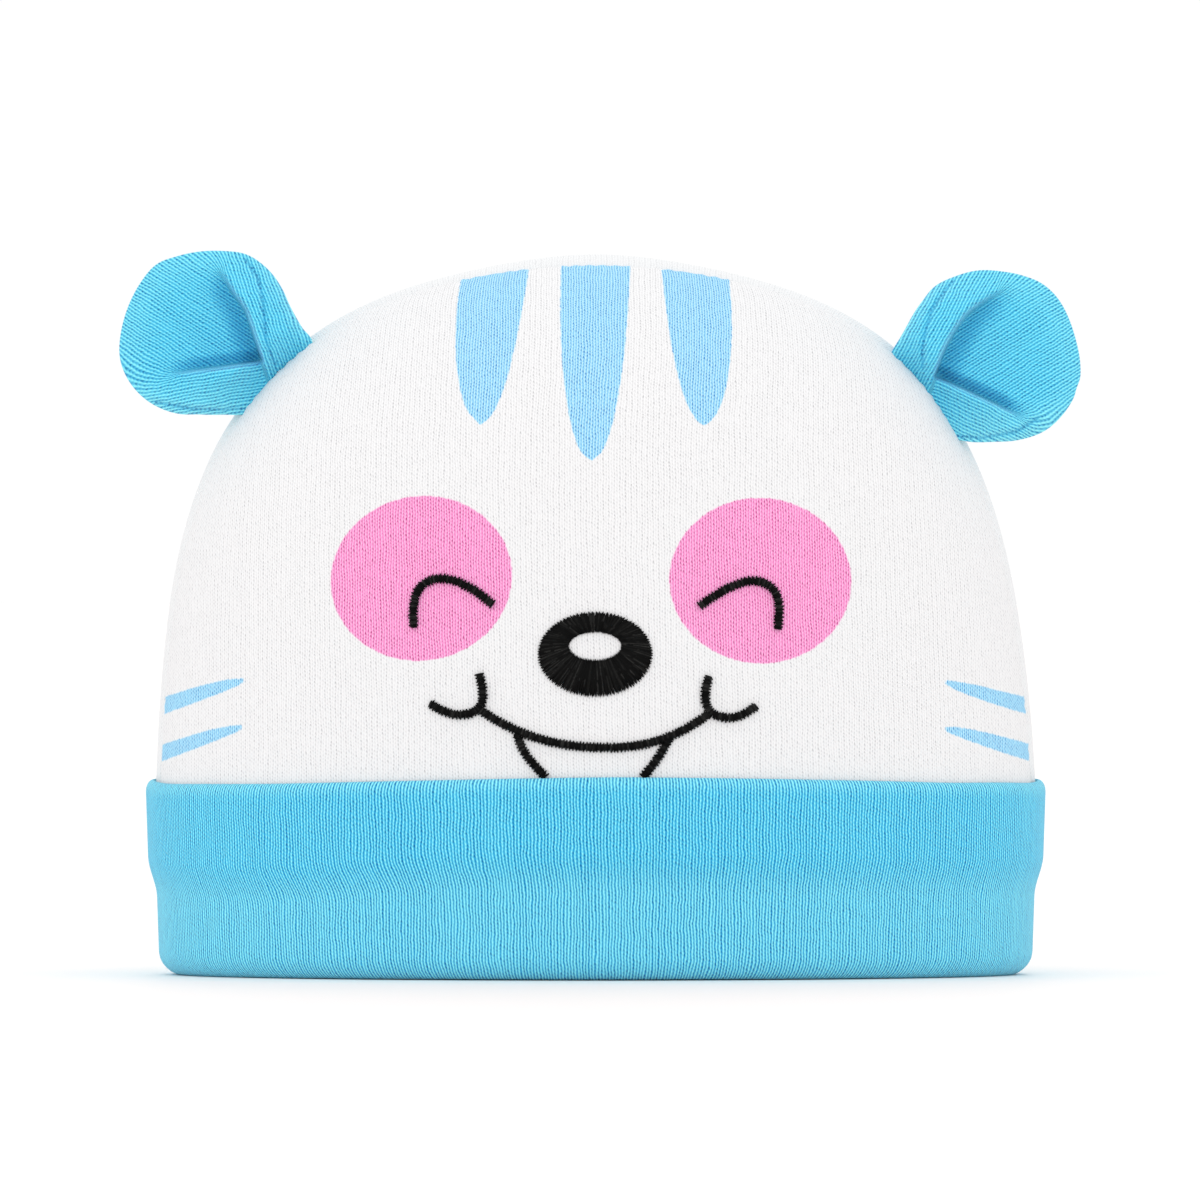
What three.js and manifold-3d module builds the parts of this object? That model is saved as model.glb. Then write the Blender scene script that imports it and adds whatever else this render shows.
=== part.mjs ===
// A baby's knitted hat, standing on its turned-up cuff. A white crown of two panels
// is joined by a seam that runs over the top from ear to ear. A doubled blue band is
// sewn to the crown's rim and turned up round it. Two folded ears sit in the seam, and
// the face on the front panel is satin stitched.
// Millimetres. The face looks along -Y, +Z is up, and the cuff stands on Z = 0.

import * as THREE from "three";
import { mergeVertices } from "three/addons/utils/BufferGeometryUtils.js";
import Module from "manifold-3d";

const wasm = await Module();
wasm.setup();

// Crown
const crownHalfWidth = 78.2;
const crownHalfDepth = 44.5;
const crownRimHeight = 28;
const crownTopHeight = 127.9;
const crownWall = 1.5;

// How far the dome's shoulders bulge beyond an ellipse, as a share of its radius, how
// sharply, and how much more above the shoulder's middle than below it
const shoulderBulge = 0.0834;
const shoulderSharpness = 2.76;
const shoulderLift = 0.0144;

// Ear-to-ear seam: how far it lies before the widest section, how far it leans forward
// at the top, and how deep and how wide the panels roll into it
const seamForward = 5.5;
const seamTopLean = 3;
const seamTopSharpness = 10;
const seamTuck = 0.7;
const seamRoll = 5;

// Gap that is left between pieces that are sewn to each other
const seamClearance = 0.3;

// Cuff: the band's doubled thickness, its turned-up height, the ripple of its top edge,
// the gap inside the bottom fold, the flattened depth under the fold, how far the lower
// half is drawn in, the shares of the height between which it is, and the share of the
// rim's height above which the inner leg leans out to the rim
const cuffWall = 1.5;
const cuffHeight = 34.9;
const cuffRipple = 0.5;
const ripplesRound = 4;
const cuffFoldGap = 1.4;
const cuffFoldFlat = 0.25;
const cuffDrawIn = 2.3;
const grooveFoot = 0.43;
const grooveTop = 0.61;
const innerLegBend = 0.42;

// Ears: reach from the pinch at the seam to the outer edge, the height of the pinch, how
// far it stands off the crown, the thickness behind and before the ear's middle plane,
// and how far the cup is dished, deepest inside dishMiddle and not beyond dishEdge, as
// shares of the reach
const earReach = 25.6;
const earPinchOut = 3.2;
const earBack = 4.4;
const earFront = 2.4;
const earDish = 1.6;
const dishMiddle = 0.3;
const dishEdge = 0.9;

// Ear flaps: how far they stand before the cup, half the turn over which a crease rises,
// the shares of the reach at which a flap is full, starts to fade and has faded, and how
// much it slopes off over how large a turn beyond the crease
const flapRise = 4.2;
const creaseHalfTurn = 3;
const flapFull = 0.3;
const flapFade = 0.55;
const flapEnd = 0.95;
const flapSlope = 0.75;
const flapSlopeTurn = 110;

// Embroidery: the width and the height of a satin-stitched line, and how far and how
// high its round end reaches, as shares of these
const stitchWidth = 1.6;
const stitchHeight = 0.55;
const stitchEndReach = 0.3;
const stitchEndHeight = 0.3;

// Eyes: distance from the middle to an eye's outer foot, height of that foot, the width
// between an eye's two feet and the height of its arch
const eyeOuterFoot = 31.9;
const eyeFootHeight = 61.7;
const eyeSpan = 13.7;
const eyeArch = 8.5;

// Nose: height of its middle, half width and half height, and the hole in it
const noseHeight = 56.9;
const noseHalfWidth = 10;
const noseHalfHeight = 7.5;
const noseHoleHalfWidth = 4.6;
const noseHoleHalfHeight = 2.6;
const noseHoleRise = 1.5;

// Mouth: half width and height of its corners, the drop of the smile, the size of the
// curl in each cheek, and the two short lines that run down to the cuff, with their bow
const mouthHalfWidth = 20;
const mouthCornerHeight = 46.9;
const smileDrop = 6.6;
const smileRoundness = 2.3;
const cheekCurl = 8.5;
const fangOut = 13.4;
const fangIn = 4.8;
const fangBow = 0.48;

// Outline of an ear about its pinch, from straight out and turning upwards
const earOutline = [
  { turn: -65, reach: 0.4 },
  { turn: -45, reach: 0.56 },
  { turn: -25, reach: 0.79 },
  { turn: -5, reach: 0.96 },
  { turn: 15, reach: 1.0 },
  { turn: 38, reach: 1.0 },
  { turn: 58, reach: 0.88 },
  { turn: 80, reach: 0.74 },
  { turn: 104, reach: 0.51 },
  { turn: 130, reach: 0.42 },
  { turn: 155, reach: 0.4 },
  { turn: 190, reach: 0.29 },
  { turn: 225, reach: 0.25 },
  { turn: 265, reach: 0.31 },
];

// The two ears: side, turn of the pinch along the seam from straight out, how far the
// pinch stands off as a share, how far the outline is turned down, and the turns of the
// cup's lower and upper creases
const earRows = [
  { name: "ear_left", side: -1, seamTurn: 53.8, standOff: 1, droop: 0, lower: -5, upper: 63 },
  { name: "ear_right", side: 1, seamTurn: 52.4, standOff: 0.65, droop: 7, lower: -25, upper: 52 },
];

// An eye's arch from its outer foot to its inner one, as shares of the span and the arch
const eyeArchRows = [
  { across: 0, up: 0 },
  { across: -0.01, up: 0.5 },
  { across: 0.09, up: 0.81 },
  { across: 0.23, up: 0.97 },
  { across: 0.4, up: 1 },
  { across: 0.58, up: 0.91 },
  { across: 0.76, up: 0.76 },
  { across: 1, up: 0.44 },
];

// The curl in a cheek from its outer end to its upper end, as shares of the curl
const cheekCurlRows = [
  { out: 1, up: 0.16 },
  { out: 0.76, up: 0 },
  { out: 0.5, up: -0.08 },
  { out: 0.18, up: -0.02 },
  { out: 0, up: 0.12 },
  { out: -0.05, up: 0.42 },
  { out: 0.03, up: 0.76 },
];

// Facets, and how strongly a panel's rows crowd towards the seam
const rowCrowding = 1.7;
const panelColumns = 32;
const frontRows = 11;
const backRows = 11;
const cuffColumns = 60;
const legRises = [0, 0.2, 0.38, 0.48, 0.58, 0.7, 0.86, 1];
const innerLegRises = [0, 0.35, 0.65, 1];
const edgeTurns = [45, 90, 135];
const foldTurns = [150, 115, 65, 30];
const earRays = 26;
const creaseClearTurn = 3.5;
const earFrontShares = [0, 0.3, 0.55, 0.75, 0.89, 0.97, 1];
const earBackShares = [0.93, 0.75, 0.45, 0];
const archSteps = 16;
const smileSteps = 20;
const fangSteps = 5;
const noseColumns = 28;
const halvings = 48;

const degrees = Math.PI / 180;

const knitWhite = new THREE.MeshStandardMaterial({ color: 0xf4f3f4, roughness: 0.95, metalness: 0 });
const knitBlue = new THREE.MeshStandardMaterial({ color: 0x63caea, roughness: 0.92, metalness: 0 });
const stitchBlack = new THREE.MeshStandardMaterial({ color: 0x131313, roughness: 0.55, metalness: 0 });

function smoothStep(value, start, end) {
  return THREE.MathUtils.smoothstep(value, start, end);
}

// A closed mesh from columns of points. Neighbouring columns are joined by quads, and
// points that fall together, as at a pole, become one.
function closedMesh(columns, isRing) {
  const rows = columns[0].length;
  const positions = columns.flat().flatMap((point) => point.toArray());
  const index = [];
  const strips = isRing ? columns.length : columns.length - 1;
  for (let column = 0; column < strips; column += 1) {
    const near = column * rows;
    const far = ((column + 1) % columns.length) * rows;
    for (let row = 0; row < rows; row += 1) {
      const above = (row + 1) % rows;
      index.push(near + row, far + row, far + above);
      index.push(near + row, far + above, near + above);
    }
  }
  const geometry = new THREE.BufferGeometry();
  geometry.setAttribute("position", new THREE.Float32BufferAttribute(positions, 3));
  geometry.setIndex(index);
  return facedOut(mergeVertices(geometry));
}

// The same mesh without the flat triangles at its poles, and with its faces outwards
function facedOut(geometry) {
  const corners = Array.from(geometry.index.array);
  const kept = [];
  let volume = 0;
  const [a, b, c] = [new THREE.Vector3(), new THREE.Vector3(), new THREE.Vector3()];
  for (let first = 0; first < corners.length; first += 3) {
    const triangle = corners.slice(first, first + 3);
    if (new Set(triangle).size < 3) continue;
    kept.push(triangle);
    a.fromBufferAttribute(geometry.attributes.position, triangle[0]);
    b.fromBufferAttribute(geometry.attributes.position, triangle[1]);
    c.fromBufferAttribute(geometry.attributes.position, triangle[2]);
    volume += a.dot(b.cross(c));
  }
  if (volume < 0) kept.forEach((triangle) => triangle.reverse());
  geometry.setIndex(kept.flat());
  return geometry;
}

function toSolid(geometry) {
  return new wasm.Manifold(
    new wasm.Mesh({
      numProp: 3,
      vertProperties: new Float32Array(geometry.attributes.position.array),
      triVerts: new Uint32Array(geometry.index.array),
    }),
  );
}

function toGeometry(solid) {
  const mesh = solid.getMesh();
  const geometry = new THREE.BufferGeometry();
  geometry.setAttribute("position", new THREE.Float32BufferAttribute(mesh.vertProperties, 3));
  geometry.setIndex(Array.from(mesh.triVerts));
  return geometry;
}

function namedMesh(name, geometry, material) {
  geometry.computeVertexNormals();
  const mesh = new THREE.Mesh(geometry, material);
  mesh.name = name;
  return mesh;
}

// Where a point lies against the dome: 1 on its surface, more outside. The dome's level
// sections are ellipses, and its outline bulges at the shoulders.
function crownLevel(point, inset) {
  const across = Math.hypot(
    point.x / (crownHalfWidth - inset),
    point.y / (crownHalfDepth - inset),
  );
  const up = (point.z - crownRimHeight) / (crownTopHeight - crownRimHeight - inset);
  const turn = 2 * Math.atan2(Math.max(up, 0), across);
  const bulge = shoulderBulge * Math.sin(turn) ** shoulderSharpness;
  const lift = shoulderLift * Math.cos(turn) * Math.sin(turn) ** 2;
  return Math.hypot(across, up) / (1 + bulge + lift);
}

// The point where a ray from inside the crown meets the dome, found by halving
function onCrown(start, direction, inset) {
  let inside = 0;
  let outside = crownHalfWidth + crownTopHeight;
  for (let halving = 0; halving < halvings; halving += 1) {
    const middle = (inside + outside) / 2;
    const point = start.clone().addScaledVector(direction, middle);
    if (crownLevel(point, inset) < 1) inside = middle;
    else outside = middle;
  }
  return start.clone().addScaledVector(direction, inside);
}

// A direction in the fan of half planes that hinge on the line between the two ends of
// the seam: along turns from the left end over the top to the right end, and tilt turns
// the half plane from level at the front over the top to level at the back
function fanDirection(along, tilt) {
  return new THREE.Vector3(
    -Math.cos(along),
    -Math.sin(along) * Math.cos(tilt),
    Math.sin(along) * Math.sin(tilt),
  );
}

function seamTilt(along) {
  const lean = Math.atan(seamTopLean / (crownTopHeight - crownRimHeight));
  return Math.PI / 2 - lean * Math.sin(along) ** seamTopSharpness;
}

// One half of the crown, from its rim to the seam. Its rows crowd towards the seam,
// where the panel rolls in.
function crownPanel(side, rowCount) {
  const start = new THREE.Vector3(0, -seamForward + (side * seamClearance) / 2, crownRimHeight);
  const columns = [];
  for (let column = 0; column <= panelColumns; column += 1) {
    const along = (Math.PI * column) / panelColumns;
    const seam = seamTilt(along);
    const rim = side < 0 ? 0 : Math.PI;
    const outer = [];
    const inner = [];
    for (let row = 0; row <= rowCount; row += 1) {
      const fromSeam = (1 - row / rowCount) ** rowCrowding;
      const tilt = seam + (rim - seam) * fromSeam;
      const direction = fanDirection(along, tilt);
      const away = Math.abs(tilt - seam) * (crownTopHeight - crownRimHeight) * Math.sin(along);
      const tuck = seamTuck * Math.max(0, 1 - away / seamRoll) * Math.sin(along);
      outer.push(onCrown(start, direction, tuck));
      inner.unshift(onCrown(start, direction, tuck + crownWall));
    }
    columns.push([...outer, ...inner]);
  }
  return closedMesh(columns, false);
}

// Everything inside the crown's outer surface and the gap around it, which the ears
// are cut to
function crownEnvelope() {
  const start = new THREE.Vector3(0, 0, crownRimHeight);
  const columns = [];
  for (let column = 0; column <= panelColumns; column += 1) {
    const along = (Math.PI * column) / panelColumns;
    const loop = [];
    for (let row = 0; row <= 2 * frontRows; row += 1) {
      const tilt = (Math.PI * row) / (2 * frontRows);
      loop.push(onCrown(start, fanDirection(along, tilt), -seamClearance));
    }
    columns.push(loop);
  }
  return closedMesh(columns, false);
}

// The hairpin section of the cuff, as distances out from the crown's outer surface and
// heights. The turned-up leg is drawn in over its lower half, and the inner leg rises to
// the crown's rim.
function cuffSection(turn) {
  const top = cuffHeight + cuffRipple * Math.cos(ripplesRound * turn);
  const foldRadius = cuffFoldGap / 2;
  const foldHeight = foldRadius + cuffWall - cuffFoldFlat;
  const lowest = seamClearance - cuffDrawIn;
  const drawn = (height) => -cuffDrawIn * (1 - smoothStep(height / cuffHeight, grooveFoot, grooveTop));
  const legInside = (height) => seamClearance + drawn(height);
  const innerLegTop = crownRimHeight - seamClearance;
  const innerLegFoot = lowest - cuffFoldGap;
  const innerLegOutside = (height) =>
    innerLegFoot * (1 - smoothStep(height, crownRimHeight * innerLegBend, innerLegTop));
  const legTop = top - cuffWall / 2;
  const legHeights = legRises.map((rise) => foldHeight + (legTop - foldHeight) * rise);
  const innerHeights = innerLegRises.map((rise) => foldHeight + (innerLegTop - foldHeight) * rise);
  const foldMiddle = lowest - foldRadius;

  const outsideLeg = legHeights.map((height) => ({ out: legInside(height) + cuffWall, height }));
  const edge = edgeTurns.map((step) => ({
    out: legInside(legTop) + (cuffWall / 2) * (1 + Math.cos(step * degrees)),
    height: legTop + (cuffWall / 2) * Math.sin(step * degrees),
  }));
  const insideLeg = legHeights.map((height) => ({ out: legInside(height), height })).reverse();
  const foldInside = edgeTurns.map((step) => ({
    out: foldMiddle + foldRadius * Math.cos(step * degrees),
    height: foldHeight - foldRadius * Math.sin(step * degrees),
  }));
  const innerLeg = innerHeights.map((height) => ({ out: innerLegOutside(height), height }));
  const innerLegBack = innerHeights
    .map((height) => ({ out: innerLegOutside(height) - cuffWall, height }))
    .reverse();
  const foldOutside = foldTurns.map((step) => ({
    out: foldMiddle + (foldRadius + cuffWall) * Math.cos(step * degrees),
    height: Math.max(0, foldHeight - (foldRadius + cuffWall) * Math.sin(step * degrees)),
  }));
  return [
    ...outsideLeg,
    ...edge,
    ...insideLeg,
    ...foldInside,
    ...innerLeg,
    ...innerLegBack,
    ...foldOutside,
  ];
}

function cuff() {
  const columns = [];
  for (let column = 0; column < cuffColumns; column += 1) {
    const turn = (2 * Math.PI * column) / cuffColumns;
    const loop = cuffSection(turn).map(
      ({ out, height }) =>
        new THREE.Vector3(
          (crownHalfWidth + out) * Math.sin(turn),
          -(crownHalfDepth + out) * Math.cos(turn),
          height,
        ),
    );
    columns.push(loop);
  }
  return closedMesh(columns, true);
}

// Reach of an ear's outline at a turn about its pinch, smoothed between the rows
function earOutlineReach(turn) {
  const count = earOutline.length;
  const first = earOutline[0].turn;
  const wrapped = first + THREE.MathUtils.euclideanModulo(turn - first, 360);
  let row = count - 1;
  while (earOutline[row].turn > wrapped) row -= 1;
  const at = (step) => {
    const place = row + step;
    const lap = Math.floor(place / count);
    const entry = earOutline[place - lap * count];
    return { turn: entry.turn + 360 * lap, reach: entry.reach };
  };
  const [before, start, end, after] = [at(-1), at(0), at(1), at(2)];
  const span = end.turn - start.turn;
  const share = (wrapped - start.turn) / span;
  const startSlope = ((end.reach - before.reach) / (end.turn - before.turn)) * span;
  const endSlope = ((after.reach - start.reach) / (after.turn - start.turn)) * span;
  const cube = share ** 3;
  const square = share ** 2;
  const reach =
    (2 * cube - 3 * square + 1) * start.reach +
    (cube - 2 * square + share) * startSlope +
    (3 * square - 2 * cube) * end.reach +
    (cube - square) * endSlope;
  return earReach * reach;
}

// How far the front of an ear stands before its middle plane. Between the two creases
// it is a shallow cup, and beyond them the folded flaps stand up before it.
function earFrontHeight(row, turn, share) {
  const edge = Math.sqrt(1 - share ** 4);
  const middle = (row.lower + row.upper) / 2;
  const halfCup = (row.upper - row.lower) / 2;
  const away = Math.abs(THREE.MathUtils.euclideanModulo(turn - middle + 180, 360) - 180);
  const beyond = away - halfCup;
  const step = smoothStep(beyond, -creaseHalfTurn, creaseHalfTurn);
  const fallOff = 1 - flapSlope * smoothStep(beyond, 0, flapSlopeTurn);
  const fade = 1 - smoothStep(share, flapFade, flapEnd);
  const lift = smoothStep(share, 0, flapFull);
  const flap = flapRise * step * fallOff * fade * lift;
  const dish = earDish * (1 - smoothStep(share, dishMiddle, dishEdge)) * (1 - step);
  return earFront * edge + flap - dish;
}

function ear(row, envelope) {
  const start = new THREE.Vector3(0, -seamForward, crownRimHeight);
  const along = row.seamTurn * degrees;
  const atLeft = onCrown(start, fanDirection(along, seamTilt(along)), 0);
  const outward = new THREE.Vector2(atLeft.x, atLeft.z - crownRimHeight).normalize();
  const pinch = new THREE.Vector3(
    atLeft.x + outward.x * row.standOff * earPinchOut,
    atLeft.y,
    atLeft.z + outward.y * row.standOff * earPinchOut,
  );
  const evenTurns = Array.from({ length: earRays }, (_, ray) => (360 * ray) / earRays);
  const creaseTurns = [row.lower, row.upper].flatMap((turn) => [
    turn - creaseHalfTurn,
    turn + creaseHalfTurn,
  ]);
  const clearOfCrease = (turn) =>
    creaseTurns.every((crease) => {
      const apart = THREE.MathUtils.euclideanModulo(turn - crease + 180, 360) - 180;
      return Math.abs(apart) > creaseClearTurn;
    });
  const turns = [...evenTurns.filter(clearOfCrease), ...creaseTurns]
    .map((turn) => THREE.MathUtils.euclideanModulo(turn, 360))
    .sort((a, b) => a - b);
  const columns = turns.map((turn) => {
    const reach = earOutlineReach(turn + row.droop);
    const place = (share, depth) =>
      new THREE.Vector3(
        row.side * (-pinch.x + share * reach * Math.cos(turn * degrees)),
        pinch.y + depth,
        pinch.z + share * reach * Math.sin(turn * degrees),
      );
    const front = earFrontShares.map((share) => place(share, -earFrontHeight(row, turn, share)));
    const back = earBackShares.map((share) => place(share, earBack * Math.sqrt(1 - share ** 4)));
    return [...front, ...back];
  });
  return toGeometry(toSolid(closedMesh(columns, true)).subtract(envelope));
}

// A point of the face, by its place across and its height, on the crown's front and
// raised from it
function onFace(across, height, raised) {
  const start = new THREE.Vector3(across, 0, height);
  return onCrown(start, new THREE.Vector3(0, -1, 0), -raised);
}

// The low round section of satin stitch, as shares of its width and height
const stitchSection = [
  { side: -0.5, up: 0 },
  { side: -0.42, up: 0.55 },
  { side: -0.16, up: 1 },
  { side: 0.16, up: 1 },
  { side: 0.42, up: 0.55 },
  { side: 0.5, up: 0 },
];

// A satin-stitched line along a flat path of across and height, with rounded ends
function stitchedLine(path) {
  const columns = path.map((point, step) => {
    const before = path[Math.max(step - 1, 0)];
    const after = path[Math.min(step + 1, path.length - 1)];
    const heading = after.clone().sub(before).normalize();
    return stitchSection.map(({ side, up }) =>
      onFace(
        point.x - heading.y * side * stitchWidth,
        point.y + heading.x * side * stitchWidth,
        seamClearance + up * stitchHeight,
      ),
    );
  });
  const endCap = (end, inner) => {
    const heading = end.clone().sub(inner).normalize();
    const tip = end.clone().addScaledVector(heading, stitchWidth * stitchEndReach);
    const point = onFace(tip.x, tip.y, seamClearance + stitchEndHeight * stitchHeight);
    return stitchSection.map(() => point);
  };
  const first = endCap(path[0], path[1]);
  const last = endCap(path[path.length - 1], path[path.length - 2]);
  return closedMesh([first, ...columns, last], false);
}

function smoothPath(points, steps) {
  return new THREE.SplineCurve(points).getSpacedPoints(steps);
}

function eye(side) {
  const points = eyeArchRows.map(
    ({ across, up }) =>
      new THREE.Vector2(
        side * (eyeOuterFoot - across * eyeSpan),
        eyeFootHeight + up * eyeArch,
      ),
  );
  return stitchedLine(smoothPath(points, archSteps));
}

function nose() {
  const columns = [];
  for (let column = 0; column < noseColumns; column += 1) {
    const turn = (2 * Math.PI * column) / noseColumns;
    const outer = new THREE.Vector2(
      noseHalfWidth * Math.cos(turn),
      noseHeight + noseHalfHeight * Math.sin(turn),
    );
    const hole = new THREE.Vector2(
      noseHoleHalfWidth * Math.cos(turn),
      noseHeight + noseHoleRise + noseHoleHalfHeight * Math.sin(turn),
    );
    const loop = stitchSection.map(({ side, up }) => {
      const place = outer.clone().lerp(hole, side + 0.5);
      return onFace(place.x, place.y, seamClearance + up * stitchHeight);
    });
    columns.push(loop);
  }
  return closedMesh(columns, true);
}

function smileHeight(across) {
  return mouthCornerHeight - smileDrop * (1 - Math.abs(across / mouthHalfWidth) ** smileRoundness);
}

// The smile, a curl in each cheek and two short lines down to the cuff, in one piece
function mouth() {
  const smile = [];
  for (let step = 0; step <= smileSteps; step += 1) {
    const across = mouthHalfWidth * (-1 + (2 * step) / smileSteps);
    smile.push(new THREE.Vector2(across, smileHeight(across)));
  }
  const lines = [stitchedLine(smile)];
  const fangFoot = cuffHeight + cuffRipple + seamClearance + stitchWidth * stitchEndReach;
  for (const side of [-1, 1]) {
    const curl = cheekCurlRows.map(
      ({ out, up }) =>
        new THREE.Vector2(
          side * (mouthHalfWidth + out * cheekCurl),
          mouthCornerHeight + up * cheekCurl,
        ),
    );
    lines.push(stitchedLine(smoothPath(curl, archSteps)));
    const fangTop = new THREE.Vector2(side * fangOut, smileHeight(fangOut));
    const fangTip = new THREE.Vector2(side * (fangOut - fangIn), fangFoot);
    const fangMiddle = fangTop.clone().lerp(fangTip, 0.5);
    fangMiddle.x += side * fangBow;
    lines.push(stitchedLine(smoothPath([fangTop, fangMiddle, fangTip], fangSteps)));
  }
  const joined = lines.map(toSolid).reduce((whole, line) => whole.add(line));
  return toGeometry(joined);
}

const envelope = toSolid(crownEnvelope());
const hat = new THREE.Group();
hat.add(namedMesh("crown_front", crownPanel(-1, frontRows), knitWhite));
hat.add(namedMesh("crown_back", crownPanel(1, backRows), knitWhite));
hat.add(namedMesh("cuff", cuff(), knitBlue));
for (const row of earRows) {
  hat.add(namedMesh(row.name, ear(row, envelope), knitBlue));
}
hat.add(namedMesh("eye_left_embroidery", eye(-1), stitchBlack));
hat.add(namedMesh("eye_right_embroidery", eye(1), stitchBlack));
hat.add(namedMesh("nose_embroidery", nose(), stitchBlack));
hat.add(namedMesh("mouth_embroidery", mouth(), stitchBlack));

export default hat;
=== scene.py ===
# %% [markdown]
# # A baby's knitted hat
# This lesson dresses a knitted hat that stands on its turned-up cuff. The hat is made of
# a front and a back panel, a doubled cuff, two folded ears and four pieces of
# embroidery. A frame of plain solids gives each piece its place and its real size, and
# each cell below turns one of them into cloth or thread.

# %% Load the frame
import random

import bmesh
import bpy
import numpy as np
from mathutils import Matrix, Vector


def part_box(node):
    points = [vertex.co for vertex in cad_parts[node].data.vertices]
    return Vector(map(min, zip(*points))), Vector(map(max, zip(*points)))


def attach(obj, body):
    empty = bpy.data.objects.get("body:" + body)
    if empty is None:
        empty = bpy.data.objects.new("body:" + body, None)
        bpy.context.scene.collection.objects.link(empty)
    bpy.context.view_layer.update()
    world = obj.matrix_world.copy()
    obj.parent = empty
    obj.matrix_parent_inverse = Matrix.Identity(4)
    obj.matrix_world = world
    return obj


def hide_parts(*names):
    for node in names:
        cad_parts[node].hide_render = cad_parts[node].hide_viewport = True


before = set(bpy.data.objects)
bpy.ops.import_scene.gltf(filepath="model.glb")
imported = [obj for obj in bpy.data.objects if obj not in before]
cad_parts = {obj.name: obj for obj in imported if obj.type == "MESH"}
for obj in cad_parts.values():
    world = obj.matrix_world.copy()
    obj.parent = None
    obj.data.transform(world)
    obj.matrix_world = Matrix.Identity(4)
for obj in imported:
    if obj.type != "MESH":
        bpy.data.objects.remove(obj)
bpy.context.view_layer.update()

MM = 0.001
print("pieces in the frame:", len(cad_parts))

# %% [markdown]
# ## The dome
# The crown of a knitted cap has no corner anywhere, so a formula describes it better
# than a cage of control points would. Each level section is an ellipse. The side view
# is an ellipse too, with a bulge at its shoulders, where the cloth stands out over the
# seam. Everything that lies on the crown takes its place from this one formula.

# %% Measure the crown
back_low, back_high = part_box("crown_back")
CROWN_HALF_WIDTH = 78.2
CROWN_HALF_DEPTH = back_high.y / MM
CROWN_RIM = back_low.z / MM
CROWN_TOP = back_high.z / MM
CROWN_WALL = 1.5
SHOULDER_BULGE = 0.0834      # how far the shoulders stand out past an ellipse
SHOULDER_SHARPNESS = 2.76
SHOULDER_LIFT = 0.0144
SEAM_FORWARD = 5.5
LAYER_GAP = 0.3              # between cloth layers that touch
SEAM_TOP_LEAN = 3
SEAM_TOP_SHARPNESS = 10
CROWN_LEAN = 0.62
LEAN_GROWS = (30, 85)
LEAN_FADES = (92, 115)
HALVINGS = 40


def smooth(value, start, end):
    """0 before start, 1 after end, and smooth between them"""
    share = np.clip((value - start) / (end - start), 0, 1)
    return share * share * (3 - 2 * share)


def crown_level(x, y, z, inset):
    """1 on the dome's surface and more outside it, in millimetres"""
    across = np.hypot(x / (CROWN_HALF_WIDTH - inset), y / (CROWN_HALF_DEPTH - inset))
    up = (z - CROWN_RIM) / (CROWN_TOP - CROWN_RIM - inset)
    turn = 2 * np.arctan2(np.maximum(up, 0), across)
    bulge = SHOULDER_BULGE * np.abs(np.sin(turn)) ** SHOULDER_SHARPNESS
    lift = SHOULDER_LIFT * np.cos(turn) * np.sin(turn) ** 2
    return np.hypot(across, up) / (1 + bulge + lift)


def reach_dome(start, direction, inset):
    """Where rays from inside the crown meet the dome, found by halving"""
    inside = np.zeros(len(direction))
    outside = np.full(len(direction), CROWN_HALF_WIDTH + CROWN_TOP)
    for _ in range(HALVINGS):
        middle = (inside + outside) / 2
        points = start + direction * middle[:, None]
        within = crown_level(*points.T, inset) < 1
        inside = np.where(within, middle, inside)
        outside = np.where(within, outside, middle)
    return start + direction * inside[:, None]


def sideways(z):
    """The soft crown leans a little to one side, most of all at the face"""
    return -CROWN_LEAN * smooth(z, *LEAN_GROWS) * (1 - smooth(z, *LEAN_FADES))


print("crown", CROWN_HALF_WIDTH * 2, "mm wide,", round(CROWN_TOP - CROWN_RIM, 1), "mm tall")

# %% [markdown]
# ## Following the knit
# A knitted cloth is made of wales, the upright columns of stitches, and courses, the
# rows. The wales keep their spacing when the cloth bends, so a pattern laid on by
# position would spread and squeeze. Here each piece gets a UV map in which one unit
# across is one wale and one unit up is one course, measured along the cloth.

# %% Measure wales and courses along the crown
WHITE_WALE = 0.485           # widths of a wale and heights of a course, in mm
WHITE_COURSE = 0.684
BLUE_WALE = 0.565
BLUE_COURSE = 0.67
OVER_TOP = (80, 125)
LEVELS = 600
TURNS = 2001

level_heights = np.linspace(CROWN_RIM, CROWN_TOP - 0.001, LEVELS)
forward = np.outer(np.ones(LEVELS), [0, -1, 0])
axis_points = np.outer(level_heights, [0, 0, 1])
level_sizes = -reach_dome(axis_points, forward, 0)[:, 1] / CROWN_HALF_DEPTH
rises = np.hypot(np.diff(level_heights), np.diff(level_sizes) * CROWN_HALF_DEPTH)
level_runs = np.concatenate([[0], np.cumsum(rises)])

ring_turns = np.linspace(-np.pi, np.pi, TURNS)
ring_steps = np.hypot(
    CROWN_HALF_WIDTH * np.diff(np.sin(ring_turns)),
    CROWN_HALF_DEPTH * np.diff(np.cos(ring_turns)),
)
ring_runs = np.concatenate([[0], np.cumsum(ring_steps)])
ring_runs = ring_runs - np.interp(0, ring_turns, ring_runs)


def crown_wales(points, side):
    """The count of wales from the middle and of courses from the rim"""
    x, y, z = points.T
    size = np.interp(z, level_heights, level_sizes)
    turn = np.arctan2(x / CROWN_HALF_WIDTH, side * y / CROWN_HALF_DEPTH)
    across = size * np.interp(turn, ring_turns, ring_runs)
    up = np.interp(z, level_heights, level_runs)
    if side > 0:
        flat = smooth(z, *OVER_TOP)
        across = across + (x - across) * flat
        up = up + (level_runs[-1] - up) * (1 - np.cos(turn)) * flat
    return np.column_stack([across / WHITE_WALE, up / WHITE_COURSE])


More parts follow.
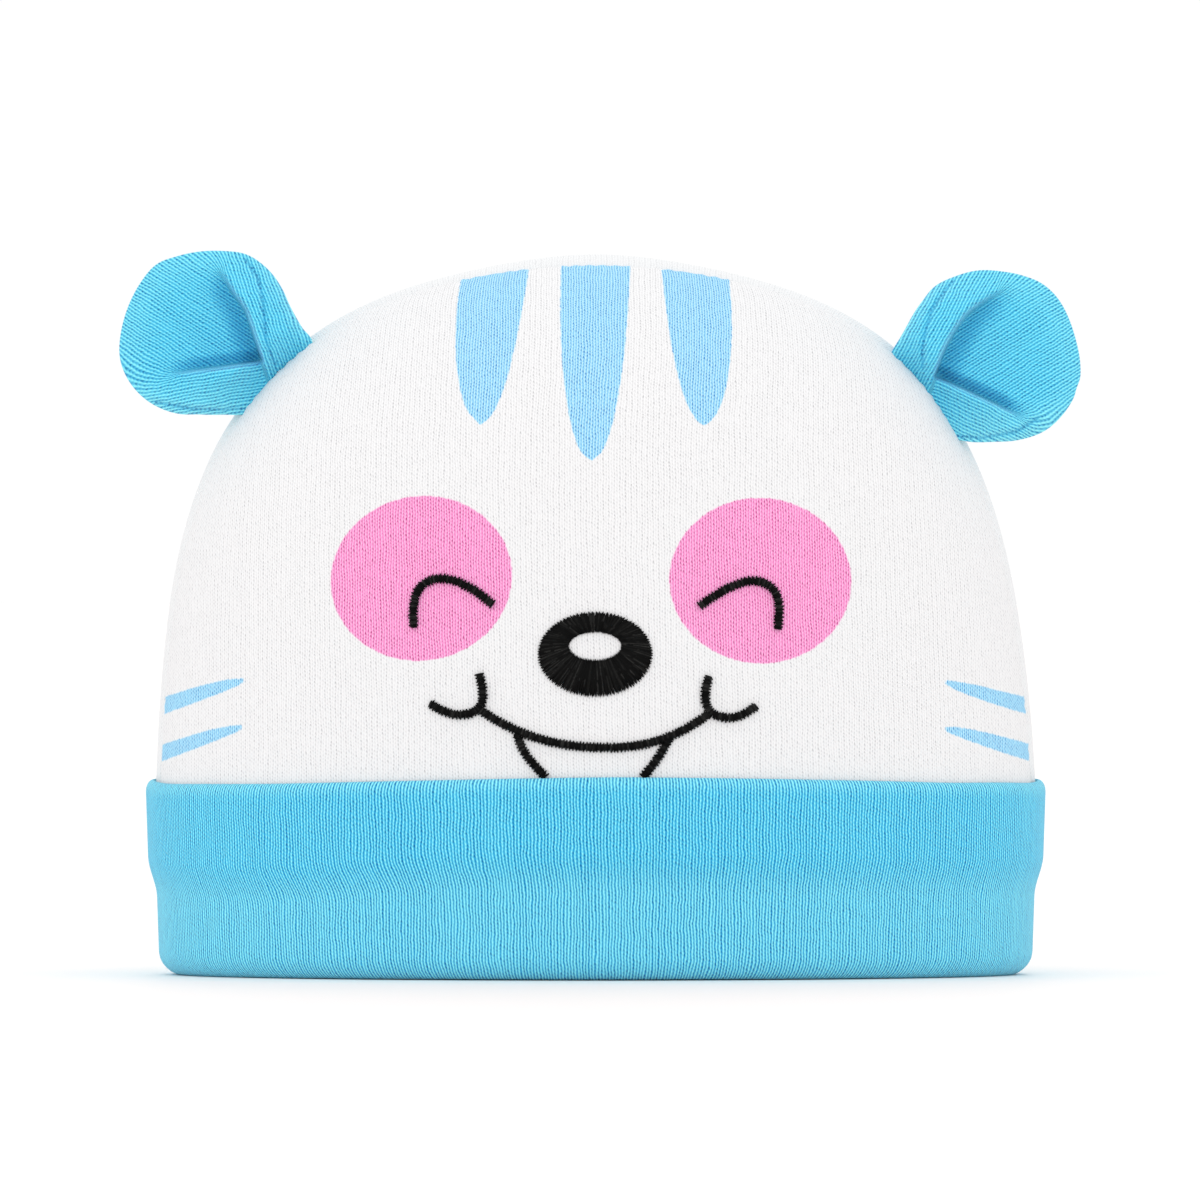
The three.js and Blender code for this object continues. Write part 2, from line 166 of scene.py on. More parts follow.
def face_depth(x, z):
    """How far before the middle the crown's front lies, by place across and height"""
    size = np.interp(z, level_heights, level_sizes)
    off_middle = (x - sideways(z)) / CROWN_HALF_WIDTH
    return CROWN_HALF_DEPTH * np.sqrt(np.maximum(size**2 - off_middle**2, 0))


rim_round = 2 * ring_runs[-1]
print("rim is", round(rim_round), "mm round, with", round(rim_round / WHITE_WALE), "wales")

# %% [markdown]
# ## From grid to cloth
# Each panel starts as a flat grid, as cloth does. A function then gives every point of
# the grid its place on the hat and its place in the knit. Where edges of the grid meet,
# as at a pole or round a tube, the doubled points are merged, and the faces are turned
# outwards again.


# %% Helpers that lay a grid over a shape and finish a piece
MERGE_DISTANCE = 0.005


def read_points(data):
    points = np.empty(3 * len(data.vertices))
    data.vertices.foreach_get("co", points)
    return points.reshape(-1, 3)


def round_curve(turn, table):
    """A smooth closed curve through the values that a table gives at turns in degrees"""
    measured = np.array(list(table))
    turns = np.concatenate([measured - 360, measured, measured + 360])
    values = np.array(list(table.values()) * 3)
    turn = np.mod(turn - measured[0], 360) + measured[0]
    row = np.searchsorted(turns, turn, side="right") - 1
    before, start, end, after = (turns[row + step] for step in (-1, 0, 1, 2))
    value = [values[row + step] for step in (-1, 0, 1, 2)]
    span = end - start
    share = (turn - start) / span
    start_slope = (value[2] - value[0]) / (end - before) * span
    end_slope = (value[3] - value[1]) / (after - start) * span
    cube, square = share**3, share**2
    return (
        (2 * cube - 3 * square + 1) * value[1]
        + (cube - 2 * square + share) * start_slope
        + (3 * square - 2 * cube) * value[2]
        + (cube - square) * end_slope
    )


def laid_grid(name, columns, rows, place, fields=None):
    """A grid whose points go to place(across, up), with the wales as its UV map"""
    flat = bmesh.new()
    bmesh.ops.create_grid(flat, x_segments=columns, y_segments=rows, size=0.5)
    data = bpy.data.meshes.new(name)
    flat.to_mesh(data)
    flat.free()
    shares = read_points(data) + 0.5
    points, wales = place(shares[:, 0], shares[:, 1])
    data.vertices.foreach_set("co", (points * MM).ravel())
    corners = np.empty(len(data.loops), int)
    data.loops.foreach_get("vertex_index", corners)
    wale_map = data.uv_layers.new(name="wales")
    wale_map.uv.foreach_set("vector", wales[corners].ravel())
    for field_name, field in (fields or {}).items():
        attribute = data.attributes.new(field_name, "FLOAT", "POINT")
        attribute.data.foreach_set("value", field(points))
    sewn = bmesh.new()
    sewn.from_mesh(data)
    bmesh.ops.remove_doubles(sewn, verts=sewn.verts, dist=MERGE_DISTANCE * MM)
    bmesh.ops.recalc_face_normals(sewn, faces=sewn.faces)
    sewn.to_mesh(data)
    sewn.free()
    return data


def finished_piece(data, material, node):
    """A mesh as a piece of the hat that stands for a node of the frame"""
    data.polygons.foreach_set("use_smooth", np.ones(len(data.polygons), bool))
    data.materials.append(material)
    piece = bpy.data.objects.new(data.name, data)
    bpy.context.scene.collection.objects.link(piece)
    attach(piece, "root")
    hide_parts(node)
    print(piece.name, "has", len(data.polygons), "faces")
    return piece


def add_wall(piece, thickness, offset):
    """Give a single layer of cloth its thickness"""
    wall = piece.modifiers.new("cloth wall", "SOLIDIFY")
    wall.thickness = thickness * MM
    wall.offset = offset
    wall.use_even_offset = True


# %% [markdown]
# ## The knit as a material
# The hat is fine cotton knit. Close up, every wale is a column of small V-shaped
# stitches with a dark gap on each side of it, and the gaps open into dots here and
# there. The stitches are far too many to model, so the material works them out from
# the wale count in the UV map: a bump for each stitch, a darker colour in the gaps as
# painted shade, the same painted shade in dots whose strength changes at random from
# stitch to stitch, and a painted highlight on the ridges.


# %% Helpers for material nodes
def add_node(tree, kind, inputs=None, **settings):
    made = tree.nodes.new(kind)
    for name, value in settings.items():
        setattr(made, name, value)
    for socket, value in (inputs or {}).items():
        if isinstance(value, bpy.types.NodeSocket):
            tree.links.new(value, made.inputs[socket])
        else:
            made.inputs[socket].default_value = value
    return made


def calc(tree, operation, *values):
    made = add_node(tree, "ShaderNodeMath", dict(enumerate(values)), operation=operation)
    return made.outputs[0]


def ramp(tree, value, start, end):
    """0 before start, 1 after end, and smooth between them"""
    inputs = {"Value": value, "From Min": start, "From Max": end}
    made = add_node(tree, "ShaderNodeMapRange", inputs, interpolation_type="SMOOTHSTEP")
    return made.outputs[0]


def blend(tree, share, under, over, blend_type="MIX"):
    inputs = {0: share, 6: under, 7: over}
    made = add_node(tree, "ShaderNodeMix", inputs, data_type="RGBA", blend_type=blend_type)
    return made.outputs[2]


def linear(red, green, blue):
    """A colour given as it looks on screen, for a shader"""
    shares = [value / 255 for value in (red, green, blue)]
    return tuple(((s + 0.055) / 1.055) ** 2.4 if s > 0.04 else s / 12.92 for s in shares) + (1,)


def new_material(name):
    material = bpy.data.materials.new(name)
    material.use_nodes = True
    tree = material.node_tree
    return material, tree, tree.nodes["Principled BSDF"]


# %% [markdown]
# ## One stitch, from a wave across and a wave along
# A cosine across the wales gives their ridges, and one along the courses gives the
# loops. Half a course of offset from wale to wale makes the brick pattern, and two
# noises let the wales wander as real ones do. White noise, read once for each stitch,
# decides how dark the painted shade in its gap is.

# %% Work out the stitches
SWAY = 1.1                   # slow drift of the wales, in wales
SWAY_SCALE = 0.11
WOBBLE = 0.3                 # quick unevenness from stitch to stitch
WOBBLE_SCALE = 0.5
BRICK = 0.5                  # neighbouring wales are half a course apart
STITCH_LEAN = 1.1            # how steep the two legs of a stitch stand
GAP_CHANCE = 0.15
LEAST_DOT = 0.3
LOOP_DIP = 0.4


def wander(tree, counts, scale, detail):
    """Two slowly changing numbers around zero, one across the wales and one along them"""
    inputs = {"Vector": counts, "Scale": scale, "Detail": detail}
    noise = add_node(tree, "ShaderNodeTexNoise", inputs, noise_dimensions="2D")
    middle = add_node(
        tree, "ShaderNodeVectorMath", {0: noise.outputs["Color"], 1: (0.5, 0.5, 0.5)},
        operation="SUBTRACT",
    )
    return add_node(tree, "ShaderNodeSeparateXYZ", {0: middle.outputs[0]}).outputs


def knit_stitches(tree, weak_gap):
    """Shares of the knit: its relief, the painted highlight on its ridges, and the painted shade in
    its gaps and in the dots in them
    """
    counts = add_node(tree, "ShaderNodeUVMap", uv_map="wales").outputs[0]
    parts = add_node(tree, "ShaderNodeSeparateXYZ", {0: counts})
    slow = wander(tree, counts, SWAY_SCALE, 2.0)
    quick = wander(tree, counts, WOBBLE_SCALE, 0.0)
    wale = calc(tree, "MULTIPLY_ADD", slow[0], SWAY, parts.outputs[0])
    wale = calc(tree, "MULTIPLY_ADD", quick[0], WOBBLE, wale)
    wale_wave = calc(tree, "COSINE", calc(tree, "MULTIPLY", wale, 2 * np.pi))
    ridge = calc(tree, "MULTIPLY_ADD", wale_wave, -0.5, 0.5)
    off_gap = calc(tree, "PINGPONG", wale, 0.5)
    course = calc(tree, "MULTIPLY_ADD", wale, BRICK, parts.outputs[1])
    course = calc(tree, "MULTIPLY_ADD", slow[1], SWAY, course)
    course = calc(tree, "MULTIPLY_ADD", quick[1], 2 * WOBBLE, course)
    course = calc(tree, "MULTIPLY_ADD", off_gap, STITCH_LEAN, course)
    course_wave = calc(tree, "COSINE", calc(tree, "MULTIPLY", course, 2 * np.pi))
    loop = calc(tree, "MULTIPLY_ADD", course_wave, -0.5, 0.5)
    gap_number = calc(tree, "ROUND", wale)
    cell = add_node(tree, "ShaderNodeCombineXYZ", {0: gap_number, 1: calc(tree, "FLOOR", course)})
    chance = add_node(
        tree, "ShaderNodeTexWhiteNoise", {"Vector": cell.outputs[0]}, noise_dimensions="2D"
    ).outputs["Value"]
    gap_chance = add_node(
        tree, "ShaderNodeTexWhiteNoise", {"W": gap_number}, noise_dimensions="1D"
    ).outputs["Value"]
    weak = calc(tree, "MULTIPLY", calc(tree, "PINGPONG", gap_number, 1), weak_gap)
    weak = calc(tree, "SUBTRACT", 1, weak)
    strength = calc(tree, "MULTIPLY", weak, calc(tree, "MULTIPLY_ADD", gap_chance, -GAP_CHANCE, 1))
    # painted shade: darker in the gaps between the ridges, and in dots where a gap opens
    gap = calc(tree, "MULTIPLY", calc(tree, "SUBTRACT", 1, ridge), strength)
    dot_chance = calc(tree, "MULTIPLY_ADD", chance, 1 - LEAST_DOT, LEAST_DOT)
    dot = calc(tree, "MULTIPLY", calc(tree, "MULTIPLY", gap, loop), dot_chance)
    # painted highlight along the ridges, between the loops
    shine = calc(tree, "MULTIPLY", calc(tree, "POWER", ridge, 2), calc(tree, "SUBTRACT", 1, loop))
    dip = calc(tree, "MULTIPLY_ADD", loop, -LOOP_DIP, 1)
    relief = calc(tree, "MULTIPLY", ridge, dip)
    return {"relief": relief, "gap": gap, "dot": dot, "shine": shine, "chance": chance}


# how far the painted-light field lightens the body of the yarn
PALE_SHARE = 0.5
STITCH_RELIEF = 0.12
KNIT_ROUGHNESS = 0.95
KNIT_SPECULAR = 0.15
SHEEN_ROUGHNESS = 0.5


def knit_finish(tree, shader, stitches, colours, depths, sheen, painted_light_field=""):
    """Colour and bump of the knit: body, painted highlight, and painted shade in gaps and dots"""
    light, body, gap, dot = colours
    # painted light: where the field is high, the body is lightened towards the highlight colour
    if painted_light_field:
        pale = add_node(tree, "ShaderNodeAttribute", attribute_name=painted_light_field).outputs["Fac"]
        body = blend(tree, calc(tree, "MULTIPLY", pale, PALE_SHARE), body, light)
    # painted highlight on the ridges, then painted shade in the gaps and in the dots
    shade = blend(tree, calc(tree, "MULTIPLY", stitches["shine"], depths[0]), body, light)
    shade = blend(tree, calc(tree, "MULTIPLY", stitches["gap"], depths[1]), shade, gap)
    shade = blend(tree, calc(tree, "MULTIPLY", stitches["dot"], depths[2]), shade, dot)
    tree.links.new(shade, shader.inputs["Base Color"])
    inputs = {"Height": stitches["relief"], "Strength": depths[3]}
    inputs["Distance"] = STITCH_RELIEF * MM
    relief = add_node(tree, "ShaderNodeBump", inputs)
    tree.links.new(relief.outputs[0], shader.inputs["Normal"])
    shader.inputs["Roughness"].default_value = KNIT_ROUGHNESS
    shader.inputs["Specular IOR Level"].default_value = KNIT_SPECULAR
    shader.inputs["Sheen Weight"].default_value = sheen
    shader.inputs["Sheen Roughness"].default_value = SHEEN_ROUGHNESS


# %% [markdown]
# ## The prints
# The patches and the stripes are printed on the front panel before it is sewn, so they
# have no thickness of their own. They could be an image, but a few measures describe
# them: two ovals and seven tapering stripes. The cloth holds the distance to the
# nearest print edge as a number at each point, more than zero inside. The material
# turns it into ink, stitch by stitch, so that the edge is as uneven as printed knit is.

# %% Measure the prints
PATCHES = [
    {"x": -30.6, "z": 70.5, "half_width": 16.0, "half_height": 14.4, "tilt": 10},
    {"x": 28.9, "z": 70.1, "half_width": 16.0, "half_height": 14.5, "tilt": -4},
]
FOREHEAD_STRIPES = [
    {"tip_x": -20.2, "tip_z": 97.8, "top_x": -17.9, "half": 5.9, "length": 26},
    {"tip_x": -0.75, "tip_z": 91.1, "top_x": 0.0, "half": 6.1, "length": 34.5},
    {"tip_x": 19.1, "tip_z": 97.6, "top_x": 17.7, "half": 5.9, "length": 26},
]
WHISKERS = [
    {"side": -1, "tip_x": 61.5, "tip_z": 52.5, "drop": 5.3, "bow": 1.15, "half": 1.5},
    {"side": -1, "tip_x": 61.9, "tip_z": 44.3, "drop": 5.4, "bow": 1.15, "half": 1.45},
    {"side": 1, "tip_x": 61.2, "tip_z": 52.3, "drop": 5.0, "bow": 0.95, "half": 1.45},
    {"side": 1, "tip_x": 61.2, "tip_z": 44.0, "drop": 4.9, "bow": 1.1, "half": 1.5},
]
OUTSIDE = -9.0
TIP_ROUNDNESS = 2.1
STRIPE_BEND = 1.7


def tapered(half, share):
    """Half width of a stripe that ends in a round tip"""
    return half * np.sqrt(1 - (1 - np.clip(share, 0, 1)) ** TIP_ROUNDNESS)


def pink_print(points):
    x, _, z = points.T
    nearest = np.full(len(points), OUTSIDE)
    for patch in PATCHES:
        turn = np.radians(patch["tilt"])
        off_x = (x - patch["x"]) * np.cos(turn) + (z - patch["z"]) * np.sin(turn)
        off_z = (z - patch["z"]) * np.cos(turn) - (x - patch["x"]) * np.sin(turn)
        away = np.hypot(off_x / patch["half_width"], off_z / patch["half_height"])
        nearest = np.maximum(nearest, (1 - away) * patch["half_height"])
    return nearest


def blue_print(points):
    x, _, z = points.T
    nearest = np.full(len(points), OUTSIDE)
    for stripe in FOREHEAD_STRIPES:
        rise = (z - stripe["tip_z"]) / stripe["length"]
        bend = np.clip(rise, 0, 2) ** STRIPE_BEND
        middle = stripe["tip_x"] + (stripe["top_x"] - stripe["tip_x"]) * bend
        inside = tapered(stripe["half"], rise) - np.abs(x - middle)
        inside = np.where(rise > 0, inside, -np.hypot(x - middle, z - stripe["tip_z"]))
        nearest = np.maximum(nearest, inside)
    for stripe in WHISKERS:
        out = (x * stripe["side"] - stripe["tip_x"]) / (CROWN_HALF_WIDTH - stripe["tip_x"])
        middle = stripe["tip_z"] - stripe["drop"] * np.clip(out, 0, 1) ** stripe["bow"]
        inside = tapered(stripe["half"], out) - np.abs(z - middle)
        off_tip = -np.hypot(x * stripe["side"] - stripe["tip_x"], z - stripe["tip_z"])
        nearest = np.maximum(nearest, np.where(out > 0, inside, off_tip))
    return nearest


# %% [markdown]
# ## White knit and its inks
# Ink soaks into the same stitches, so it only changes their four colours: the painted
# highlight, the body of the yarn, and the painted shade in the gaps and in the dots.
# Print also evens out the gaps, whose painted shade on bare white is weak between every
# second pair of wales.

# %% Make the white knit with its prints
# Four colours each: painted highlight, body of the yarn, painted shade in the gaps and in the dots
WHITE_KNIT = [
    linear(242, 242, 243), linear(240, 240, 241), linear(231, 231, 232), linear(183, 183, 185),
]
# The back panel: a darker copy of the same white yarn, as painted shade
SHADED_BACK_KNIT = [
    linear(238, 239, 240), linear(237, 238, 239), linear(233, 234, 235), linear(205, 206, 208),
]
# The inks, in the same four colours
INKS = {
    "blue_print": [
        linear(212, 243, 251), linear(171, 226, 250), linear(132, 203, 241), linear(0, 86, 174),
    ],
    "pink_print": [
        linear(252, 206, 235), linear(252, 169, 219), linear(246, 138, 199), linear(148, 0, 83),
    ],
}
EDGE_UNEVENNESS = 0.16
EDGE_SOFTNESS = 0.16
WHITE_DEPTHS = (0.8, 0.9, 1.0, 0.28)
WHITE_WEAK_GAP = 0.4
PRINT_WEAK_GAP = 0.1
WHITE_SHEEN = 0.03


def white_knit(name, colours, printed):
    material, tree, shader = new_material(name)
    weak_gap = WHITE_WEAK_GAP
    inside = {}
    if printed:
        for field in INKS:
            node = add_node(tree, "ShaderNodeAttribute", attribute_name=field)
            inside[field] = node.outputs["Fac"]
        on_print = ramp(tree, calc(tree, "MAXIMUM", *inside.values()), 0, EDGE_SOFTNESS)
        change = PRINT_WEAK_GAP - WHITE_WEAK_GAP
        weak_gap = calc(tree, "MULTIPLY_ADD", on_print, change, WHITE_WEAK_GAP)
    stitches = knit_stitches(tree, weak_gap)
    uneven = calc(tree, "SUBTRACT", stitches["chance"], 0.5)
    uneven = calc(tree, "MULTIPLY", uneven, EDGE_UNEVENNESS)
    for field, share in inside.items():
        inked = ramp(tree, calc(tree, "ADD", share, uneven), -EDGE_SOFTNESS, EDGE_SOFTNESS)
        colours = [blend(tree, inked, under, over) for under, over in zip(colours, INKS[field])]
    knit_finish(tree, shader, stitches, colours, WHITE_DEPTHS, WHITE_SHEEN)
    return material


printed_knit = white_knit("printed white knit", WHITE_KNIT, True)
plain_knit = white_knit("plain white knit", SHADED_BACK_KNIT, False)
print("white knit made, with", len(INKS), "inks")

# %% [markdown]
# ## The two crown panels
# The front and back panels meet in one seam that runs over the top from ear to ear. A
# fan of half planes, hinged on the line between the seam's two ends, sweeps from the
# rim to the seam, and each panel's grid is laid along that fan. Near the seam the cloth
# rolls down into the stitches, and the sewing gathers it into small puckers.

# %% Lay the crown panels
SEAM_TUCK = 1.4
SEAM_ROLL = 2.9
PANEL_GAP = 0.05
PUCKER_DEPTH = 0.12
PUCKER_LENGTH = 2.3
PUCKER_DRIFT = (1.5, 7)      # how much, and over what length, the puckers drift
ROLL_SHARE = 0.96            # less than 1, so that the valley stays open to the light
SEAM_CROWDING = 1.5


def seam_tilt(along):
    lean = np.arctan(SEAM_TOP_LEAN / (CROWN_TOP - CROWN_RIM))
    return np.pi / 2 - lean * np.sin(along) ** SEAM_TOP_SHARPNESS


def panel_place(side):
    rim_tilt = 0 if side < 0 else np.pi
    start = np.array([0, -SEAM_FORWARD + side * PANEL_GAP / 2, CROWN_RIM])

    def place(across, up):
        along = np.pi * across
        seam = seam_tilt(along)
        tilt = seam + (rim_tilt - seam) * (1 - up) ** SEAM_CROWDING
        direction = np.column_stack(
            [-np.cos(along), -np.sin(along) * np.cos(tilt), np.sin(along) * np.sin(tilt)]
        )
        away = np.abs(tilt - seam) * (CROWN_TOP - CROWN_RIM) * np.sin(along)
        near = ROLL_SHARE * np.clip(1 - away / SEAM_ROLL, 0, 1)
        tuck = SEAM_TUCK * (1 - np.sqrt(1 - near**2)) * smooth(np.sin(along), 0, 0.05)
        seam_run = along * (CROWN_TOP - CROWN_RIM)
        drift = PUCKER_DRIFT[0] * np.sin(seam_run / PUCKER_DRIFT[1])
        waves = np.sin(2 * np.pi * seam_run / PUCKER_LENGTH + drift)
        pucker = PUCKER_DEPTH * waves * smooth(near, 0, 0.4) * smooth(1 - near, 0, 0.3)
        points = reach_dome(start, direction, tuck + pucker)
        wales = crown_wales(points, side)
        points[:, 0] += sideways(points[:, 2])
        return points, wales

    return place


PANEL_COLUMNS = 260
PANEL_ROWS = 90
fields = {"blue_print": blue_print, "pink_print": pink_print}
front_cloth = laid_grid("front_panel", PANEL_COLUMNS, PANEL_ROWS, panel_place(-1), fields)
crown_front = finished_piece(front_cloth, printed_knit, "crown_front")
back_cloth = laid_grid("back_panel", PANEL_COLUMNS, PANEL_ROWS, panel_place(1))
crown_back = finished_piece(back_cloth, plain_knit, "crown_back")
for panel in (crown_front, crown_back):
    add_wall(panel, CROWN_WALL, -1)
    area = sum(face.area for face in panel.data.polygons)
    print(panel.name, "is", round(area * 1e4, 1), "square cm of cloth")

# %% [markdown]
# ## The blue knit
# The cuff and the ears are of the same yarn and gauge as the crown, dyed blue. The
# painted shade in the gaps is much darker than on white, so the wales show much more.


# %% Make the blue knit
# Strengths of the painted highlight, the painted shade in the gaps and in the dots, and the bump
CUFF_DEPTHS = (0.95, 1.0, 1.0, 0.5)
EAR_DEPTHS = (0.65, 0.76, 0.95, 0.5)
BLUE_SHEEN = 0.18
BLUE_WEAK_GAP = 0.15
# The blue's four colours: painted highlight, body, painted shade in the gaps and in the dots
BLUE_SHADES = [
    linear(160, 251, 253), linear(104, 224, 250), linear(11, 152, 213), linear(0, 82, 147),
]
SEAM_LINE = (0.08, 0.42)     # where the sewn line fades, in mm from its middle
SEAM_LINE_SHARE = 0.6
SEAM_HOLE = (0.08, 0.3)
SEAM_HOLE_SHARE = 0.8
SEAM_HOLE_SPACING = 0.8


def blue_knit(name, depths, hemmed):
    material, tree, shader = new_material(name)
    stitches = knit_stitches(tree, BLUE_WEAK_GAP)
    if hemmed:
        off_seam = add_node(tree, "ShaderNodeAttribute", attribute_name="off_seam").outputs["Fac"]
        along = add_node(tree, "ShaderNodeAttribute", attribute_name="along_seam").outputs["Fac"]
        line = calc(tree, "SUBTRACT", 1, ramp(tree, off_seam, *SEAM_LINE))
        hole = ramp(tree, calc(tree, "PINGPONG", along, SEAM_HOLE_SPACING / 2), *SEAM_HOLE)
        depth = calc(tree, "MULTIPLY", stitches["chance"], SEAM_HOLE_SHARE)
        hole = calc(tree, "MULTIPLY", line, calc(tree, "MULTIPLY", hole, depth))
        line = calc(tree, "MULTIPLY", line, SEAM_LINE_SHARE)
        stitches["gap"] = calc(tree, "MAXIMUM", stitches["gap"], line)
        stitches["dot"] = calc(tree, "MAXIMUM", stitches["dot"], hole)
    knit_finish(tree, shader, stitches, BLUE_SHADES, depths, BLUE_SHEEN, "painted_light")
    return material


cuff_knit = blue_knit("cuff blue knit", CUFF_DEPTHS, False)
ear_knit = blue_knit("ear blue knit", EAR_DEPTHS, True)
print("blue knit made")

# %% [markdown]
# ## The cuff
# The cuff is a doubled band, sewn to the rim and turned up round it, so its section is
# a hairpin: a short leg inside, a fold that the hat stands on, and a tall leg outside
# with a rounded top edge. The section is a closed loop, and the grid runs round that
# loop one way and round the hat the other way. The lower half is drawn in under the
# upper half, at a groove that wanders up and down.

# %% Measure the cuff
CUFF_WALL = 1.5
TOP_EDGE = {
    -180: 34.7, -100: 34.7, -88: 34.6, -75: 34.1, -60: 34.2, -45: 34.4, -26: 35, 0: 35.7,
    13: 35.6, 26: 35.3, 43: 34.8, 52: 34.5, 65: 34.4, 78: 34.2, 88: 34.6, 100: 34.7,
}
TOP_ROLL = 2.1
EDGE_PEAK = 0.15             # how far the top edge's highest line lies from its inner face
FOLD_GAP = 1.4
SHORT_LEG_BEND = 0.42
FOLD_FLAT = 0.25
FOLD_ROUND = 3.6
DRAW_IN = 2.4
GROOVE_STEP = 1.35
GROOVE_HALF_WIDTH = 3.6
FRONT_LIFT = 0.15
FOOT_DRAW = 1.5
FOOT_HEIGHT = 4.5
GROOVE_EDGE = (-4, 4)        # over what heights the knit slants, past the groove
GROOVE = {-180: 17.6, -90: 17.4, -48: 16.6, -22: 18.6, 0: 19.2, 42: 18.2, 90: 17.6}
CUFF_WALES = 704
TWIST = {"wales": 3, "middle": -0.65, "width": 0.5}

# The ends of the loop's stretches, as shares of the grid
OUTER_LEG = 0.36
TOP_ROUND = 0.43
INNER_FACE = 0.6
FOLD_INSIDE = 0.64
SHORT_LEG = 0.74
RIM_EDGE = 0.76
SHORT_LEG_BACK = 0.86
FOLD_OUTSIDE = 1.0


def cuff_loop(across, turn):
    """Distance out from the crown and height, at shares across of the section's loop"""
    top = round_curve(np.degrees(turn), TOP_EDGE)
    groove = round_curve(np.degrees(turn), GROOVE)
    fold_radius = FOLD_GAP / 2
    fold_height = fold_radius + CUFF_WALL - FOLD_FLAT
    lowest = LAYER_GAP - DRAW_IN
    fold_middle = lowest - fold_radius
    leg_top = top - TOP_ROLL
    rim = CROWN_RIM - LAYER_GAP

    def leg_inside(height):
        step = GROOVE_STEP * (1 - smooth(height - groove, -GROOVE_HALF_WIDTH, GROOVE_HALF_WIDTH))
        risen = np.clip((height - FOLD_ROUND) / (top - FOLD_ROUND), 0, 1)
        slope = (DRAW_IN - GROOVE_STEP) * (1 - risen)
        return LAYER_GAP - step - slope

    def inner_leg(height):
        return (lowest - FOLD_GAP) * (1 - smooth(height, SHORT_LEG_BEND * CROWN_RIM, rim))

    def stretch(start, end):
        return np.clip((across - start) / (end - start), 0, 1)

    outer_height = FOLD_ROUND + (leg_top - FOLD_ROUND) * stretch(0, OUTER_LEG)
    edge = np.pi * stretch(OUTER_LEG, TOP_ROUND)
    edge_width = np.where(edge < np.pi / 2, CUFF_WALL - EDGE_PEAK, EDGE_PEAK)
    edge_out = edge_width * np.cos(edge) + EDGE_PEAK
    inner_height = leg_top + (fold_height - leg_top) * stretch(TOP_ROUND, INNER_FACE)
    fold_in = np.pi * stretch(INNER_FACE, FOLD_INSIDE)
    rising = fold_height + (rim - fold_height) * stretch(FOLD_INSIDE, SHORT_LEG)
    falling = rim + (fold_height - rim) * stretch(RIM_EDGE, SHORT_LEG_BACK)
    fold_out = np.pi * stretch(SHORT_LEG_BACK, FOLD_OUTSIDE)
    fold_rise = np.where(fold_out > np.pi / 2, FOLD_ROUND, fold_height)
    fold_drop = fold_rise + FOLD_FLAT * (fold_out < np.pi / 2)
    stretches = [
        (OUTER_LEG, leg_inside(outer_height) + CUFF_WALL, outer_height),
        (TOP_ROUND, leg_inside(leg_top) + edge_out, leg_top + TOP_ROLL * np.sin(edge)),
        (INNER_FACE, leg_inside(inner_height), inner_height),
        (FOLD_INSIDE, fold_middle + fold_radius * np.cos(fold_in),
         fold_height - fold_radius * np.sin(fold_in)),
        (SHORT_LEG, inner_leg(rising), rising),
        (RIM_EDGE, inner_leg(rim) - CUFF_WALL * stretch(SHORT_LEG, RIM_EDGE), rim + 0 * across),
        (SHORT_LEG_BACK, inner_leg(falling) - CUFF_WALL, falling),
        (FOLD_OUTSIDE, fold_middle - (fold_radius + CUFF_WALL) * np.cos(fold_out),
         np.maximum(fold_rise - fold_drop * np.sin(fold_out), 0)),
    ]
    within = [across <= end + 1e-9 for end, _, _ in stretches]
    out = np.select(within, [out for _, out, _ in stretches])
    height = np.select(within, [height for _, _, height in stretches])
    foot = np.clip(1 - height / FOOT_HEIGHT, 0, 1)
    return out - FOOT_DRAW * foot**2, height, groove


def cuff_place(across, up):
    turn = np.pi * (2 * up - 1)
    out, height, groove = cuff_loop(across, turn)
    lift = FRONT_LIFT * smooth(np.cos(turn), 0.3, 1) * (1 - height / CROWN_RIM).clip(0)
    points = np.column_stack(
        [
            (CROWN_HALF_WIDTH + out) * np.sin(turn),
            -(CROWN_HALF_DEPTH + out) * np.cos(turn),
            height + lift,
        ]
    )
    off_middle = (turn - TWIST["middle"]) / TWIST["width"]
    twist = TWIST["wales"] * np.exp(-(off_middle**2)) * smooth(height - groove, *GROOVE_EDGE)
    wales = np.interp(turn, ring_turns, ring_runs) / rim_round * CUFF_WALES + twist
    return points, np.column_stack([wales, height / BLUE_COURSE])


# Painted light on the cuff: the knit is paler below the groove and along the top edge
PALE_BELOW_GROOVE = (-4, 3)
PALE_AT_TOP = (-3, -0.6)
TOP_PALENESS = 1.2


def cuff_painted_light(points):
    """Painted light: the knit is paler on the lower half and along the top edge"""
    x, y, z = points.T
    turn = np.degrees(np.arctan2(x / CROWN_HALF_WIDTH, -y / CROWN_HALF_DEPTH))
    low = 1 - smooth(z - round_curve(turn, GROOVE), *PALE_BELOW_GROOVE)
    return low + TOP_PALENESS * smooth(z - round_curve(turn, TOP_EDGE), *PALE_AT_TOP)


CUFF_GRID = (150, 320)       # faces round the section, and round the hat
cuff_cloth = laid_grid("turned_up_cuff", *CUFF_GRID, cuff_place, {"painted_light": cuff_painted_light})
cuff = finished_piece(cuff_cloth, cuff_knit, "cuff")

# %% [markdown]
# ## The ears
# Each ear is a round pouch of two layers, folded forwards from both sides at its foot,
# where it is caught in the crown's seam. The folds make a cup between two flaps. It
# could be simulated, but the folds of the real ear are few and plain, so a height over
# the ear's own plane, measured round its pinch, gives them directly.

